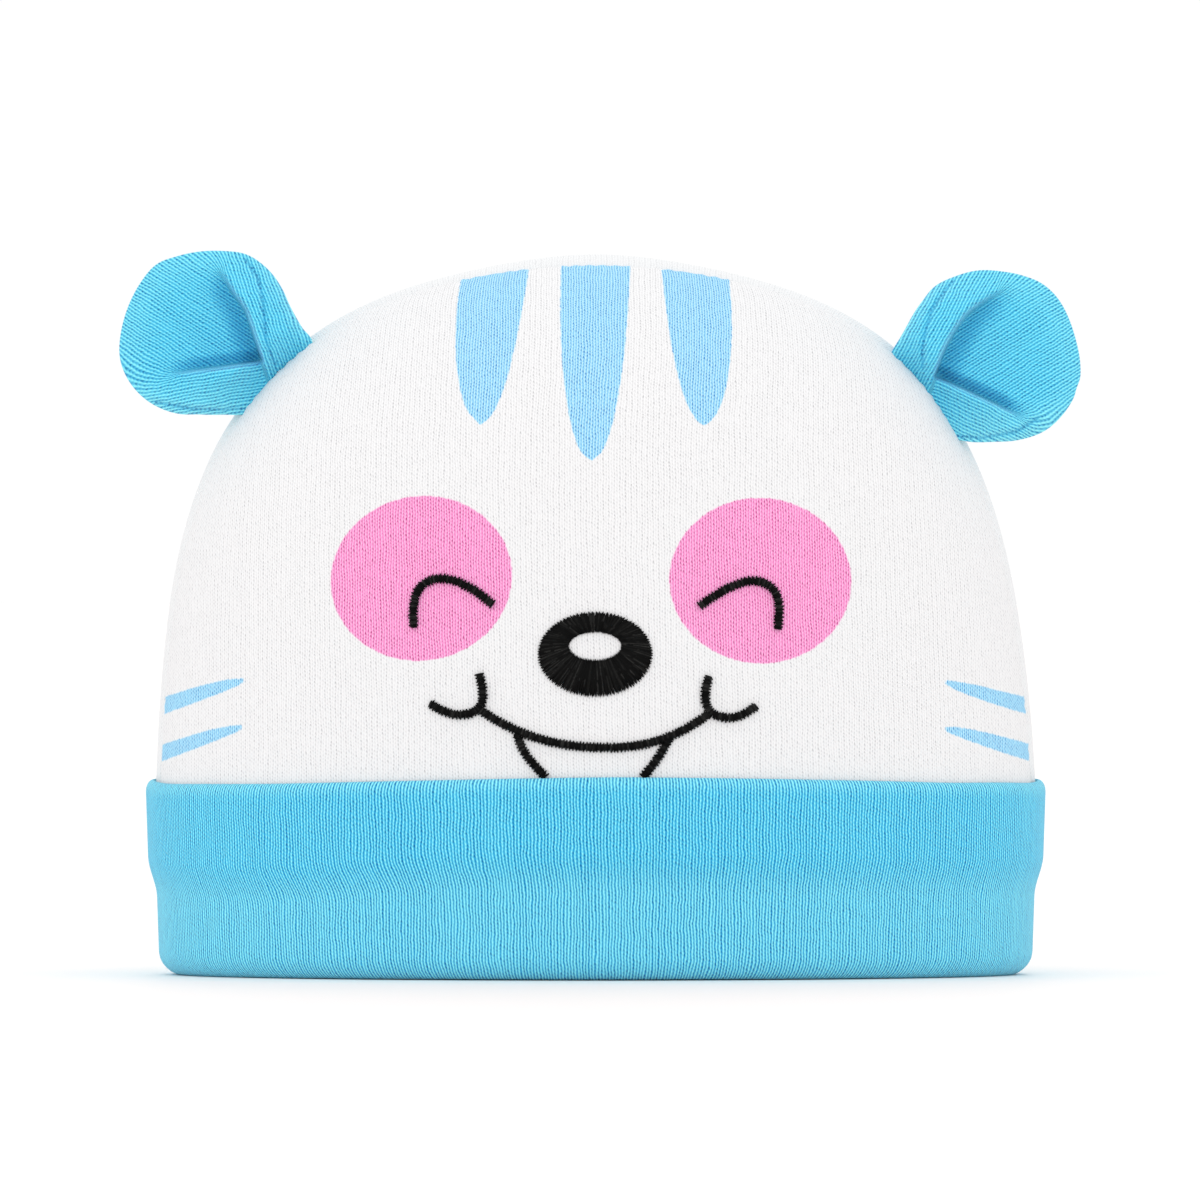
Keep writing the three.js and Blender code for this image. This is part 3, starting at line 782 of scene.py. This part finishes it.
# %% Measure the ears
EAR_PINCH_OUT = 3.2
EAR_BACK = 4.4
EAR_FRONT = 2.4
EAR_DISH = 1.8
EAR_ROOT = 0.7
FLAP_RISE = 4.4
EARS = [
    {
        "name": "left_ear", "node": "ear_left", "side": -1, "seam": 53.8, "off": 1,
        "outline": {
            -80: 9.6, -67: 10.5, -54: 11.9, -41: 14.6, -33: 17.4, -24: 20.2, -16: 22.3, -7: 24.1,
            1: 25.1, 10: 25.4, 35: 25.5, 43: 25.2, 51: 23.8, 60: 22.3, 70: 20.7, 82: 19, 93: 16.5,
            106: 13.3, 116: 11.2, 128: 9.9, 142: 9.3, 160: 9.6, 190: 7.4, 225: 6.4, 260: 7.9,
        },
        "cup_wales": 33,
        "lower": {"line": {0: -8.5, 20: -8}, "end": 16, "dive": 2, "width": 2.5, "wales": -10},
        "upper": {
            "line": {0: 72, 9: 72, 13: 67, 17: 65},
            "end": 17.5, "dive": 3.2, "width": 4.5, "wales": 70,
        },
        "edge_seam": [(2.8, 18), (0.5, 14.6), (-0.4, 10.7), (-0.7, 6.8), (-0.9, 3.5), (-2.5, -0.7)],
        "foot_seam": [(19, -7.3), (12, -8.6), (5.9, -8.7), (1, -8.4)],
    },
    {
        "name": "right_ear", "node": "ear_right", "side": 1, "seam": 52.4, "off": 0.65,
        "outline": {
            -85: 9.5, -72: 11.8, -63: 13.1, -49: 15.5, -38: 18.5, -27: 21.6, -18: 23.4, -9: 24.8,
            -5: 25.1, 0: 25.7, 16: 25.7, 32: 25.7, 41: 25, 49: 23.6, 58: 21.9, 68: 20.2, 79: 18,
            91: 15.8, 101: 13.3, 117: 10.6, 132: 9.3, 149: 8.9, 165: 9, 190: 7.4, 225: 6.4, 260: 7.9,
        },
        "cup_wales": 32,
        "lower": {"line": {0: -24, 20: -25.5}, "end": 17, "dive": 3, "width": 2.5, "wales": -26},
        "upper": {
            "line": {0: 73, 4: 71, 8: 67, 12: 63, 15: 58, 18.5: 52.5},
            "end": 19.5, "dive": 2.8, "width": 4.5, "wales": 62,
        },
        "edge_seam": [(3.2, 17), (1.2, 14.6), (-0.7, 11.8), (-1.8, 8.2), (-2.5, 4.7), (-2.3, 1.5)],
        "foot_seam": [(18, -7.6), (14.2, -9.9), (8, -11), (3, -10.5)],
    },
]
APEX_FADE = 7                # length over which a flap sinks to the cup at its end
OFF_SEAM = 9
FRONT_SHARE = 0.65           # of the grid, the rest lies on the ear's back
SEAM_RIDGE = {"height": 0.3, "off": 0.9, "width": 0.5}
SEAM_GROOVE = {"depth": 0.35, "width": 0.4}
CROWN_REACH = 70             # from the middle of the crown to the ears
ROOT_START = -1.5            # an ear is pressed flat this near to the crown
ROOT_END = 3.5
ROOT_END_LOW = 3
GATHER_DEPTH = 0.14
GATHER_LENGTH = 1.2


def along_line(out, rise, line):
    """Distance from a line through a few points, and the run along it"""
    nearest = np.full(len(out), 99.0)
    nearest_run = np.zeros(len(out))
    passed = 0
    for (x0, z0), (x1, z1) in zip(line[:-1], line[1:]):
        length = np.hypot(x1 - x0, z1 - z0)
        run = ((out - x0) * (x1 - x0) + (rise - z0) * (z1 - z0)) / length
        run = np.clip(run, 0, length)
        off_x = out - x0 - run * (x1 - x0) / length
        off_z = rise - z0 - run * (z1 - z0) / length
        distance = np.hypot(off_x, off_z)
        nearest_run = np.where(distance < nearest, passed + run, nearest_run)
        nearest = np.minimum(nearest, distance)
        passed += length
    return nearest, nearest_run


def ear_seams(out, rise, row):
    """Distance from the nearest of an ear's two seams, and the run along it"""
    edge, edge_run = along_line(out, rise, row["edge_seam"])
    foot, foot_run = along_line(out, rise, row["foot_seam"])
    return np.minimum(edge, foot), np.where(edge < foot, edge_run, foot_run)


def ear_foot(row):
    """The pinch of an ear: where its folds meet, just off the crown's seam"""
    start = np.array([0, -SEAM_FORWARD, CROWN_RIM])
    along = np.radians(row["seam"])
    tilt = seam_tilt(along)
    direction = np.array(
        [[-np.cos(along), -np.sin(along) * np.cos(tilt), np.sin(along) * np.sin(tilt)]]
    )
    foot = reach_dome(start, direction, 0)[0]
    outward = np.array([foot[0], 0, foot[2] - CROWN_RIM])
    return foot + outward / np.hypot(*outward[[0, 2]]) * row["off"] * EAR_PINCH_OUT


for row in EARS:
    print(row["name"], "is pinched at", np.round(ear_foot(row), 1), "mm")

# %% [markdown]
# ## Folding an ear
# A crease is a line from the pinch outwards. The cloth of the cup dives towards it, and
# the flap starts over it as a rounded lip that slopes off again. The wales of the flap
# run nearly along the crease, because the cloth was turned over there, and where the
# crease ends they swing round into the wales of the cup.


# %% Fold the ears
def crease_turn(crease, run):
    return np.interp(run, list(crease["line"]), list(crease["line"].values()))


def past_creases(row, turn, run):
    """How far points are past the lower and the upper crease, on the side of the flap"""
    lower = run * np.sin(np.radians(crease_turn(row["lower"], run) - turn))
    upper = run * np.sin(np.radians(turn - crease_turn(row["upper"], run)))
    return lower, upper


def ear_relief(row, turn, share, run):
    """Height of an ear's front over its own plane, the upper flap over the lower one"""
    rim = np.sqrt(np.maximum(1 - share**8, 0))
    height = EAR_FRONT * np.sqrt(np.maximum(1 - share**5, 0))
    height = height - EAR_DISH * (1 - smooth(share, 0.2, 0.95))
    for name, past in zip(("lower", "upper"), past_creases(row, turn, run)):
        crease = row[name]
        end = crease["end"]
        dive = crease["dive"] * (1 - smooth(run, end - 5, end + 2))
        height = height - dive * (1 - smooth(-past, 0, crease["width"])) * rim
        lip = np.sin(np.pi / 2 * np.clip((past + 0.1) / 1.1, 0, 1))
        rise = FLAP_RISE * (1 - smooth(run, end - APEX_FADE, end))
        flap = EAR_FRONT * np.sqrt(np.maximum(1 - share**5, 0))
        flap = flap + rise * (1 - 0.6 * smooth(past, 0.5, 9)) * rim
        height = height + (flap - height) * lip * (1 - smooth(run, end, end + 3))
    return height


def laid_knit(out, rise, direction):
    """Distances across and along wales that run in a direction in degrees"""
    slant = np.radians(direction)
    across = rise * np.cos(slant) - out * np.sin(slant)
    return np.column_stack([across, out * np.cos(slant) + rise * np.sin(slant)])


def ear_wales(row, out, rise, turn, run, front):
    knit = laid_knit(out, rise, row["cup_wales"])
    for name, past in zip(("lower", "upper"), past_creases(row, turn, run)):
        crease = row[name]
        meet = crease["end"] + 3
        end_turn = np.radians(crease_turn(crease, meet))
        end_out = np.array([meet * np.cos(end_turn)])
        end_rise = np.array([meet * np.sin(end_turn)])
        shift = laid_knit(end_out, end_rise, row["cup_wales"])
        shift = shift - laid_knit(end_out, end_rise, crease["wales"])
        flap = laid_knit(out, rise, crease["wales"]) + shift
        width = np.where(front, 0.3 + 6 * smooth(run, meet - 5, meet + 3), 6)
        knit = knit + (flap - knit) * smooth(past, -width, width)[:, None]
    return knit / (BLUE_WALE, BLUE_COURSE)


def ear_place(row):
    pinch = ear_foot(row)

    def place(across, up):
        turn = 360 * across
        front = up < FRONT_SHARE
        inward = np.where(front, up / FRONT_SHARE, (1 - up) / (1 - FRONT_SHARE))
        share = np.sin(inward * np.pi / 2)
        run = share * round_curve(turn, row["outline"])
        out = run * np.cos(np.radians(turn))
        rise = run * np.sin(np.radians(turn))
        x = pinch[0] - out
        z = pinch[2] + rise
        off_crown = (crown_level(x, pinch[1], z, 0) - 1) * CROWN_REACH
        root = smooth(off_crown, ROOT_START, ROOT_END + ROOT_END_LOW * smooth(-rise, 0, 6))
        seam, _ = ear_seams(out, rise, row)
        off_ridge = (seam - SEAM_RIDGE["off"]) / SEAM_RIDGE["width"]
        ridge = SEAM_RIDGE["height"] * np.exp(-(off_ridge**2))
        ridge = ridge - SEAM_GROOVE["depth"] * np.exp(-((seam / SEAM_GROOVE["width"]) ** 2))
        slant = np.radians(row["seam"])
        seam_run = out * np.sin(slant) - rise * np.cos(slant)
        gathers = GATHER_DEPTH * np.sin(2 * np.pi * seam_run / GATHER_LENGTH)
        gathers = gathers * smooth(5 - off_crown, 0, 5)
        height = ear_relief(row, turn, share, run) + (ridge + gathers) * smooth(1 - share, 0, 0.08)
        back = EAR_BACK * np.sqrt(np.maximum(1 - share**4, 0))
        depth = np.where(front, -height, back)
        depth = np.clip(depth, -EAR_ROOT, EAR_ROOT) * (1 - root) + depth * root
        points = np.column_stack([-row["side"] * x, pinch[1] + depth, z])
        return points, ear_wales(row, out, rise, turn, run, front)

    return place


def seam_field(row, number):
    """The distance from the seam, or the run along it, as a number at each point"""
    pinch = ear_foot(row)

    def field(points):
        out = row["side"] * points[:, 0] + pinch[0]
        rise = points[:, 2] - pinch[2]
        in_front = points[:, 1] < pinch[1]
        return np.where(in_front, ear_seams(out, rise, row)[number], OFF_SEAM)

    return field


# Painted light on the ears: paler near the rim and below the pinch
EAR_PALENESS = 0.6
PALE_RIM = (0.7, 1)
PALE_FOOT = (3, 9)


def ear_painted_light(row):
    """Painted light: the knit is paler near the rim and below the pinch"""
    pinch = ear_foot(row)

    def field(points):
        out = row["side"] * points[:, 0] + pinch[0]
        rise = points[:, 2] - pinch[2]
        reach = round_curve(np.degrees(np.arctan2(rise, out)), row["outline"])
        near_rim = smooth(np.hypot(out, rise) / reach, *PALE_RIM)
        return EAR_PALENESS * near_rim + EAR_PALENESS * smooth(-rise, *PALE_FOOT)

    return field


EAR_GRID = (300, 110)
for row in EARS:
    fields = {
        "off_seam": seam_field(row, 0), "along_seam": seam_field(row, 1),
        "painted_light": ear_painted_light(row),
    }
    ear_cloth = laid_grid(row["name"], *EAR_GRID, ear_place(row), fields)
    ear = finished_piece(ear_cloth, ear_knit, row["node"])

# %% [markdown]
# ## The embroidery
# The face is satin stitch: black thread laid side by side across each line, every
# thread drawn down into the cloth at both ends. The thread ends never line up quite,
# which gives the lines their toothed edges. So each thread is modelled: a small closed
# spindle, stretched along its stitch and arched over the cloth.

# %% Make the thread's finish
THREAD_GRAIN = 2600.0        # specks of light in a metre of thread
thread_finish, thread_tree, thread_shader = new_material("black satin stitch")
thread_place = add_node(thread_tree, "ShaderNodeTexCoord").outputs["Object"]
thread_grain = add_node(
    thread_tree, "ShaderNodeTexNoise",
    {"Vector": thread_place, "Scale": THREAD_GRAIN, "Detail": 2.0},
)
# Painted highlight: grey specks in the black thread, stronger on stitches with a high highlight value
thread_highlight = add_node(thread_tree, "ShaderNodeAttribute", attribute_name="stitch_highlight").outputs["Fac"]
thread_share = calc(thread_tree, "MULTIPLY", thread_grain.outputs["Fac"], 2)
thread_share = calc(thread_tree, "MULTIPLY", calc(thread_tree, "POWER", thread_highlight, 4), thread_share)
thread_colour = blend(thread_tree, thread_share, linear(2, 2, 2), linear(40, 40, 39))
thread_tree.links.new(thread_colour, thread_shader.inputs["Base Color"])
THREAD_ROUGHNESS = 0.5
THREAD_SPECULAR = 0.08
thread_shader.inputs["Roughness"].default_value = THREAD_ROUGHNESS
thread_shader.inputs["Specular IOR Level"].default_value = THREAD_SPECULAR
print("thread finish made")

# %% [markdown]
# ## One thread, many times
# A sphere with few faces is the thread. An Array modifier repeats it, as many times as there are
# stitches, in one mesh, and each copy is then stretched from the start of its stitch to
# its end. Each stitch gets its own strength of painted highlight, because threads catch
# the light by turns.

# %% Stitch a thread
STITCH_WIDTH = 1.63
STITCH_HEIGHT = 0.5
STITCH_SPACING = 0.3
THREAD_RADIUS = 0.19
STITCH_LIFT = 0.22
TOOTH = 0.12
TOOTH_CHANCE = 0.07
THREAD_LEAN = 0.08
HEADING_STEP = 0.3           # how far ahead and behind a line's heading is read
BLUNTNESS = ([0, 0.5, 0.87, 1], [1, 1.12, 1.5, 1])
draw = random.Random(7)


def thread_row(name, count):
    """As many small spindles as there are stitches, all in one mesh"""
    spindle = bmesh.new()
    bmesh.ops.create_uvsphere(spindle, u_segments=7, v_segments=6, radius=1)
    single = bpy.data.meshes.new("spindle")
    spindle.to_mesh(single)
    spindle.free()
    holder = bpy.data.objects.new("spindle", single)
    bpy.context.scene.collection.objects.link(holder)
    copies = holder.modifiers.new("copies", "ARRAY")
    copies.count = count
    copies.use_relative_offset = False
    graph = bpy.context.evaluated_depsgraph_get()
    data = bpy.data.meshes.new_from_object(holder.evaluated_get(graph))
    data.name = name
    bpy.data.objects.remove(holder)
    return data


def stitched(name, stitches, height):
    """Spindles from the start to the end of each stitch, arched over the crown's front"""
    data = thread_row(name, len(stitches))
    local = read_points(data).reshape(len(stitches), -1, 3)
    beside, up, along = (local[:, :, axis] for axis in range(3))
    fullness = np.interp(np.abs(along), *BLUNTNESS)
    beside, up = beside * fullness, up * fullness
    starts = np.array([start for start, _, _ in stitches])[:, None, :]
    ends = np.array([end for _, end, _ in stitches])[:, None, :]
    thickness = np.array([size for _, _, size in stitches])[:, None]
    half = (ends - starts) / 2
    across = np.stack([-half[..., 1], half[..., 0]], -1)
    across = across / np.linalg.norm(half, axis=-1)[..., None]
    place = (starts + ends) / 2 + along[..., None] * half
    place = place + (beside * thickness)[..., None] * across
    raised = STITCH_LIFT + height * (1 - along**2) + up * thickness
    x, z = place[..., 0], place[..., 1]
    points = np.stack([x, -face_depth(x, z) - raised, z], -1)
    data.vertices.foreach_set("co", (points * MM).ravel())
    # Painted highlight: a random strength for each stitch
    stitch_highlights = np.repeat([draw.random() for _ in stitches], local.shape[1])
    data.attributes.new("stitch_highlight", "FLOAT", "POINT").data.foreach_set("value", stitch_highlights)
    mesh = bmesh.new()
    mesh.from_mesh(data)
    bmesh.ops.recalc_face_normals(mesh, faces=mesh.faces)
    mesh.to_mesh(data)
    mesh.free()
    return data


def line_stitches(path):
    """The threads that cross a line, from its first point to its last"""
    path = np.array(path)
    steps = np.hypot(*np.diff(path, axis=0).T)
    runs = np.concatenate([[0], np.cumsum(steps)])
    count = int(runs[-1] / STITCH_SPACING)
    stitches = []
    for number in range(count + 1):
        run = runs[-1] * number / count
        place = np.array([np.interp(run, runs, path[:, axis]) for axis in (0, 1)])
        ahead = [np.interp(run + HEADING_STEP, runs, path[:, axis]) for axis in (0, 1)]
        behind = [np.interp(run - HEADING_STEP, runs, path[:, axis]) for axis in (0, 1)]
        heading = np.subtract(ahead, behind)
        heading = heading / np.hypot(*heading)
        across = np.array([-heading[1], heading[0]])
        tooth = TOOTH if number % 2 else -TOOTH
        left = STITCH_WIDTH / 2 + tooth + draw.uniform(-TOOTH_CHANCE, TOOTH_CHANCE)
        right = STITCH_WIDTH / 2 + tooth + draw.uniform(-TOOTH_CHANCE, TOOTH_CHANCE)
        lean = heading * draw.uniform(-THREAD_LEAN, THREAD_LEAN)
        start = place - across * left - lean
        end = place + across * right + lean
        stitches.append((start, end, THREAD_RADIUS))
    return stitches


def smooth_path(points, steps):
    """A smooth curve through a few points"""
    points = np.array(points, float)
    padded = np.vstack([2 * points[0] - points[1], points, 2 * points[-1] - points[-2]])
    path = []
    for first in range(len(points) - 1):
        before, start, end, after = padded[first : first + 4]
        for share in np.linspace(0, 1, steps, endpoint=False):
            path.append(
                0.5
                * (
                    2 * start
                    + (end - before) * share
                    + (2 * before - 5 * start + 4 * end - after) * share**2
                    + (3 * start - before - 3 * end + after) * share**3
                )
            )
    path.append(points[-1])
    return path


# %% [markdown]
# ## Eyes
# Each closed eye is one line of satin stitch that rises steeply at its outer end and
# runs down slowly towards the nose. A smooth curve through eight points is its path.

# %% Stitch the eyes
EYES = [
    {
        "name": "left_eye_line", "node": "eye_left_embroidery",
        "line": [
            (-31.9, 62.0), (-32.0, 65.2), (-31.3, 68.2), (-29.6, 69.9), (-27.2, 70.5),
            (-24.2, 69.9), (-21.1, 68.3), (-18.1, 66.0),
        ],
    },
    {
        "name": "right_eye_line", "node": "eye_right_embroidery",
        "line": [
            (32.0, 61.7), (32.2, 65.2), (31.7, 67.8), (30.2, 69.4), (27.4, 70.1),
            (24.4, 69.3), (21.3, 67.7), (18.3, 65.7),
        ],
    },
]
for row in EYES:
    eye = stitched(row["name"], line_stitches(smooth_path(row["line"], 8)), STITCH_HEIGHT)
    finished_piece(eye, thread_finish, row["node"])

# %% [markdown]
# ## Nose
# The threads of the nose run outwards all round, from a small oval that is left open,
# to a larger one. Two layers cross it, the upper one with shorter threads, so that the
# ring is fuller in its middle.

# %% Stitch the nose
NOSE_MIDDLE = np.array([-0.1, 57.2])
NOSE_HALF = np.array([10.1, 7.5])
HOLE_MIDDLE = NOSE_MIDDLE + (0, 1.5)
HOLE_HALF = np.array([4.6, 2.4])
NOSE_LAYERS = (190, 150)
nose_stitches = []
for layer, count in enumerate(NOSE_LAYERS):
    for number in range(count):
        turn = 2 * np.pi * number / count + draw.uniform(-0.01, 0.01)
        ray = np.array([np.cos(turn), np.sin(turn)])
        outer = NOSE_MIDDLE + ray * NOSE_HALF
        hole = HOLE_MIDDLE + ray * HOLE_HALF
        reach = outer - hole
        tooth = reach / np.hypot(*reach) * (TOOTH if number % 2 else -TOOTH)
        start = hole - tooth * draw.uniform(0.6, 1.8) + reach * layer * draw.uniform(0.05, 0.4)
        end = outer + tooth * draw.uniform(0.6, 1.2) - reach * layer * draw.uniform(0.05, 0.4)
        nose_stitches.append((start, end, THREAD_RADIUS * 1.15))
nose = stitched("nose_oval", nose_stitches, STITCH_HEIGHT * 1.1)
finished_piece(nose, thread_finish, "nose_embroidery")

# %% [markdown]
# ## Mouth
# The smile is one long line between two corners. A curl crosses it at each corner, and
# a short line runs down from it on each side to the edge of the cuff.

# %% Stitch the mouth
SMILE_LOW = (1.9, 40.9)
SMILE_ROUNDNESS = 2.3
FANG_FOOT = round_curve(np.zeros(1), TOP_EDGE)[0] + 0.1
MOUTH_SIDES = [
    {
        "corner": (-20.3, 47.5),
        "curl": [
            (-29.0, 48.5), (-26.8, 47.3), (-24.4, 46.6), (-21.6, 47.0), (-20.1, 48.2),
            (-19.8, 50.8), (-20.4, 53.7),
        ],
        "fang": [(-13.8, 43.2), (-12.3, 39.8), (-8.9, FANG_FOOT)],
    },
    {
        "corner": (19.7, 46.7),
        "curl": [
            (28.1, 48.1), (26.1, 46.8), (23.8, 46.1), (21.1, 46.5), (19.6, 47.8),
            (19.2, 50.4), (19.8, 53.3),
        ],
        "fang": [(12.9, 42.6), (11.0, 39.2), (8.4, FANG_FOOT)],
    },
]
smile = []
for row in MOUTH_SIDES:
    corner_x, corner_z = row["corner"]
    half = []
    for share in np.linspace(1, 0, 21):
        x = SMILE_LOW[0] + (corner_x - SMILE_LOW[0]) * share
        half.append((x, SMILE_LOW[1] + (corner_z - SMILE_LOW[1]) * share**SMILE_ROUNDNESS))
    smile = smile + half if not smile else smile + half[-2::-1]
mouth_stitches = line_stitches(smile)
for row in MOUTH_SIDES:
    mouth_stitches += line_stitches(smooth_path(row["curl"], 8))
    mouth_stitches += line_stitches(smooth_path(row["fang"], 8))
mouth = stitched("mouth_lines", mouth_stitches, STITCH_HEIGHT)
finished_piece(mouth, thread_finish, "mouth_embroidery")

# %% [markdown]
# ## The studio
# The hat stands on a plain pale floor in even white light, as in a catalogue. The floor
# is so large that its far edge can't be seen, and pale enough to melt into the world.

# %% Floor
floor_material, floor_tree, floor_shader = new_material("pale floor")
floor_grain = add_node(floor_tree, "ShaderNodeTexNoise", {"Scale": 40.0})
floor_colour = blend(
    floor_tree, floor_grain.outputs["Fac"], linear(246, 242, 240), linear(248, 244, 242)
)
floor_tree.links.new(floor_colour, floor_shader.inputs["Base Color"])
FLOOR_ROUGHNESS = 0.6
FLOOR_SPECULAR = 0.2
floor_shader.inputs["Roughness"].default_value = FLOOR_ROUGHNESS
floor_shader.inputs["Specular IOR Level"].default_value = FLOOR_SPECULAR
FLOOR_HALF_SIZE = 12
floor_mesh = bmesh.new()
bmesh.ops.create_grid(floor_mesh, x_segments=2, y_segments=2, size=FLOOR_HALF_SIZE)
floor_data = bpy.data.meshes.new("pale_floor")
floor_mesh.to_mesh(floor_data)
floor_mesh.free()
floor = bpy.data.objects.new("pale_floor", floor_data)
floor.data.materials.append(floor_material)
bpy.context.scene.collection.objects.link(floor)
print("floor is", 2 * FLOOR_HALF_SIZE, "m across")

# %% [markdown]
# ## Light
# A white world lights the hat from all sides. Four weak, wide suns are added: one in
# front for a little shading, one behind that lays a soft shadow on the floor before
# the hat, and one on each side that lights the crown beside the ears.

# %% Light
world = bpy.data.worlds.new("white studio")
world.use_nodes = True
WORLD_STRENGTH = 1.01
world.node_tree.nodes["Background"].inputs["Color"].default_value = (1, 1, 1, 1)
world.node_tree.nodes["Background"].inputs["Strength"].default_value = WORLD_STRENGTH
bpy.context.scene.world = world
bpy.context.scene.view_settings.view_transform = "Standard"
SUNS = [
    {"name": "soft_key", "strength": 0.28, "spread": 50, "turn": (60, 0, -6)},
    {"name": "back_light", "strength": 0.26, "spread": 40, "turn": (-55, 0, 0)},
    {"name": "right_light", "strength": 0.16, "spread": 60, "turn": (15, 55, 0)},
    {"name": "left_light", "strength": 0.18, "spread": 60, "turn": (15, -55, 0)},
]
for row in SUNS:
    lamp = bpy.data.lights.new(row["name"], "SUN")
    lamp.energy = row["strength"]
    lamp.angle = np.radians(row["spread"])
    sun = bpy.data.objects.new(row["name"], lamp)
    sun.rotation_euler = [np.radians(angle) for angle in row["turn"]]
    bpy.context.scene.collection.objects.link(sun)
print("lights:", len(SUNS), "suns and a white world")

# %% [markdown]
# ## Camera
# The camera is far off with a long lens, nearly level with the floor, as for a
# catalogue picture. Its lens is worked out from how wide the picture is at the hat.

# %% Camera
CAMERA_DISTANCE = 3.0
CAMERA_RISE = 0.3
FRAME_WIDTH = 0.2132
CAMERA_AIM = Vector((0.00076, 0, 0.0665))
SENSOR_WIDTH = 36
lens = bpy.data.cameras.new("camera")
lens.sensor_fit = "HORIZONTAL"
lens.sensor_width = SENSOR_WIDTH
lens.lens = SENSOR_WIDTH * CAMERA_DISTANCE / FRAME_WIDTH
lens.clip_end = 100
camera = bpy.data.objects.new("camera", lens)
rise = np.radians(CAMERA_RISE)
camera.location = CAMERA_AIM + CAMERA_DISTANCE * Vector((0, -np.cos(rise), np.sin(rise)))
camera.rotation_euler = (np.pi / 2 - rise, 0, 0)
bpy.context.scene.collection.objects.link(camera)
bpy.context.scene.camera = camera
print("camera lens is", round(lens.lens), "mm")
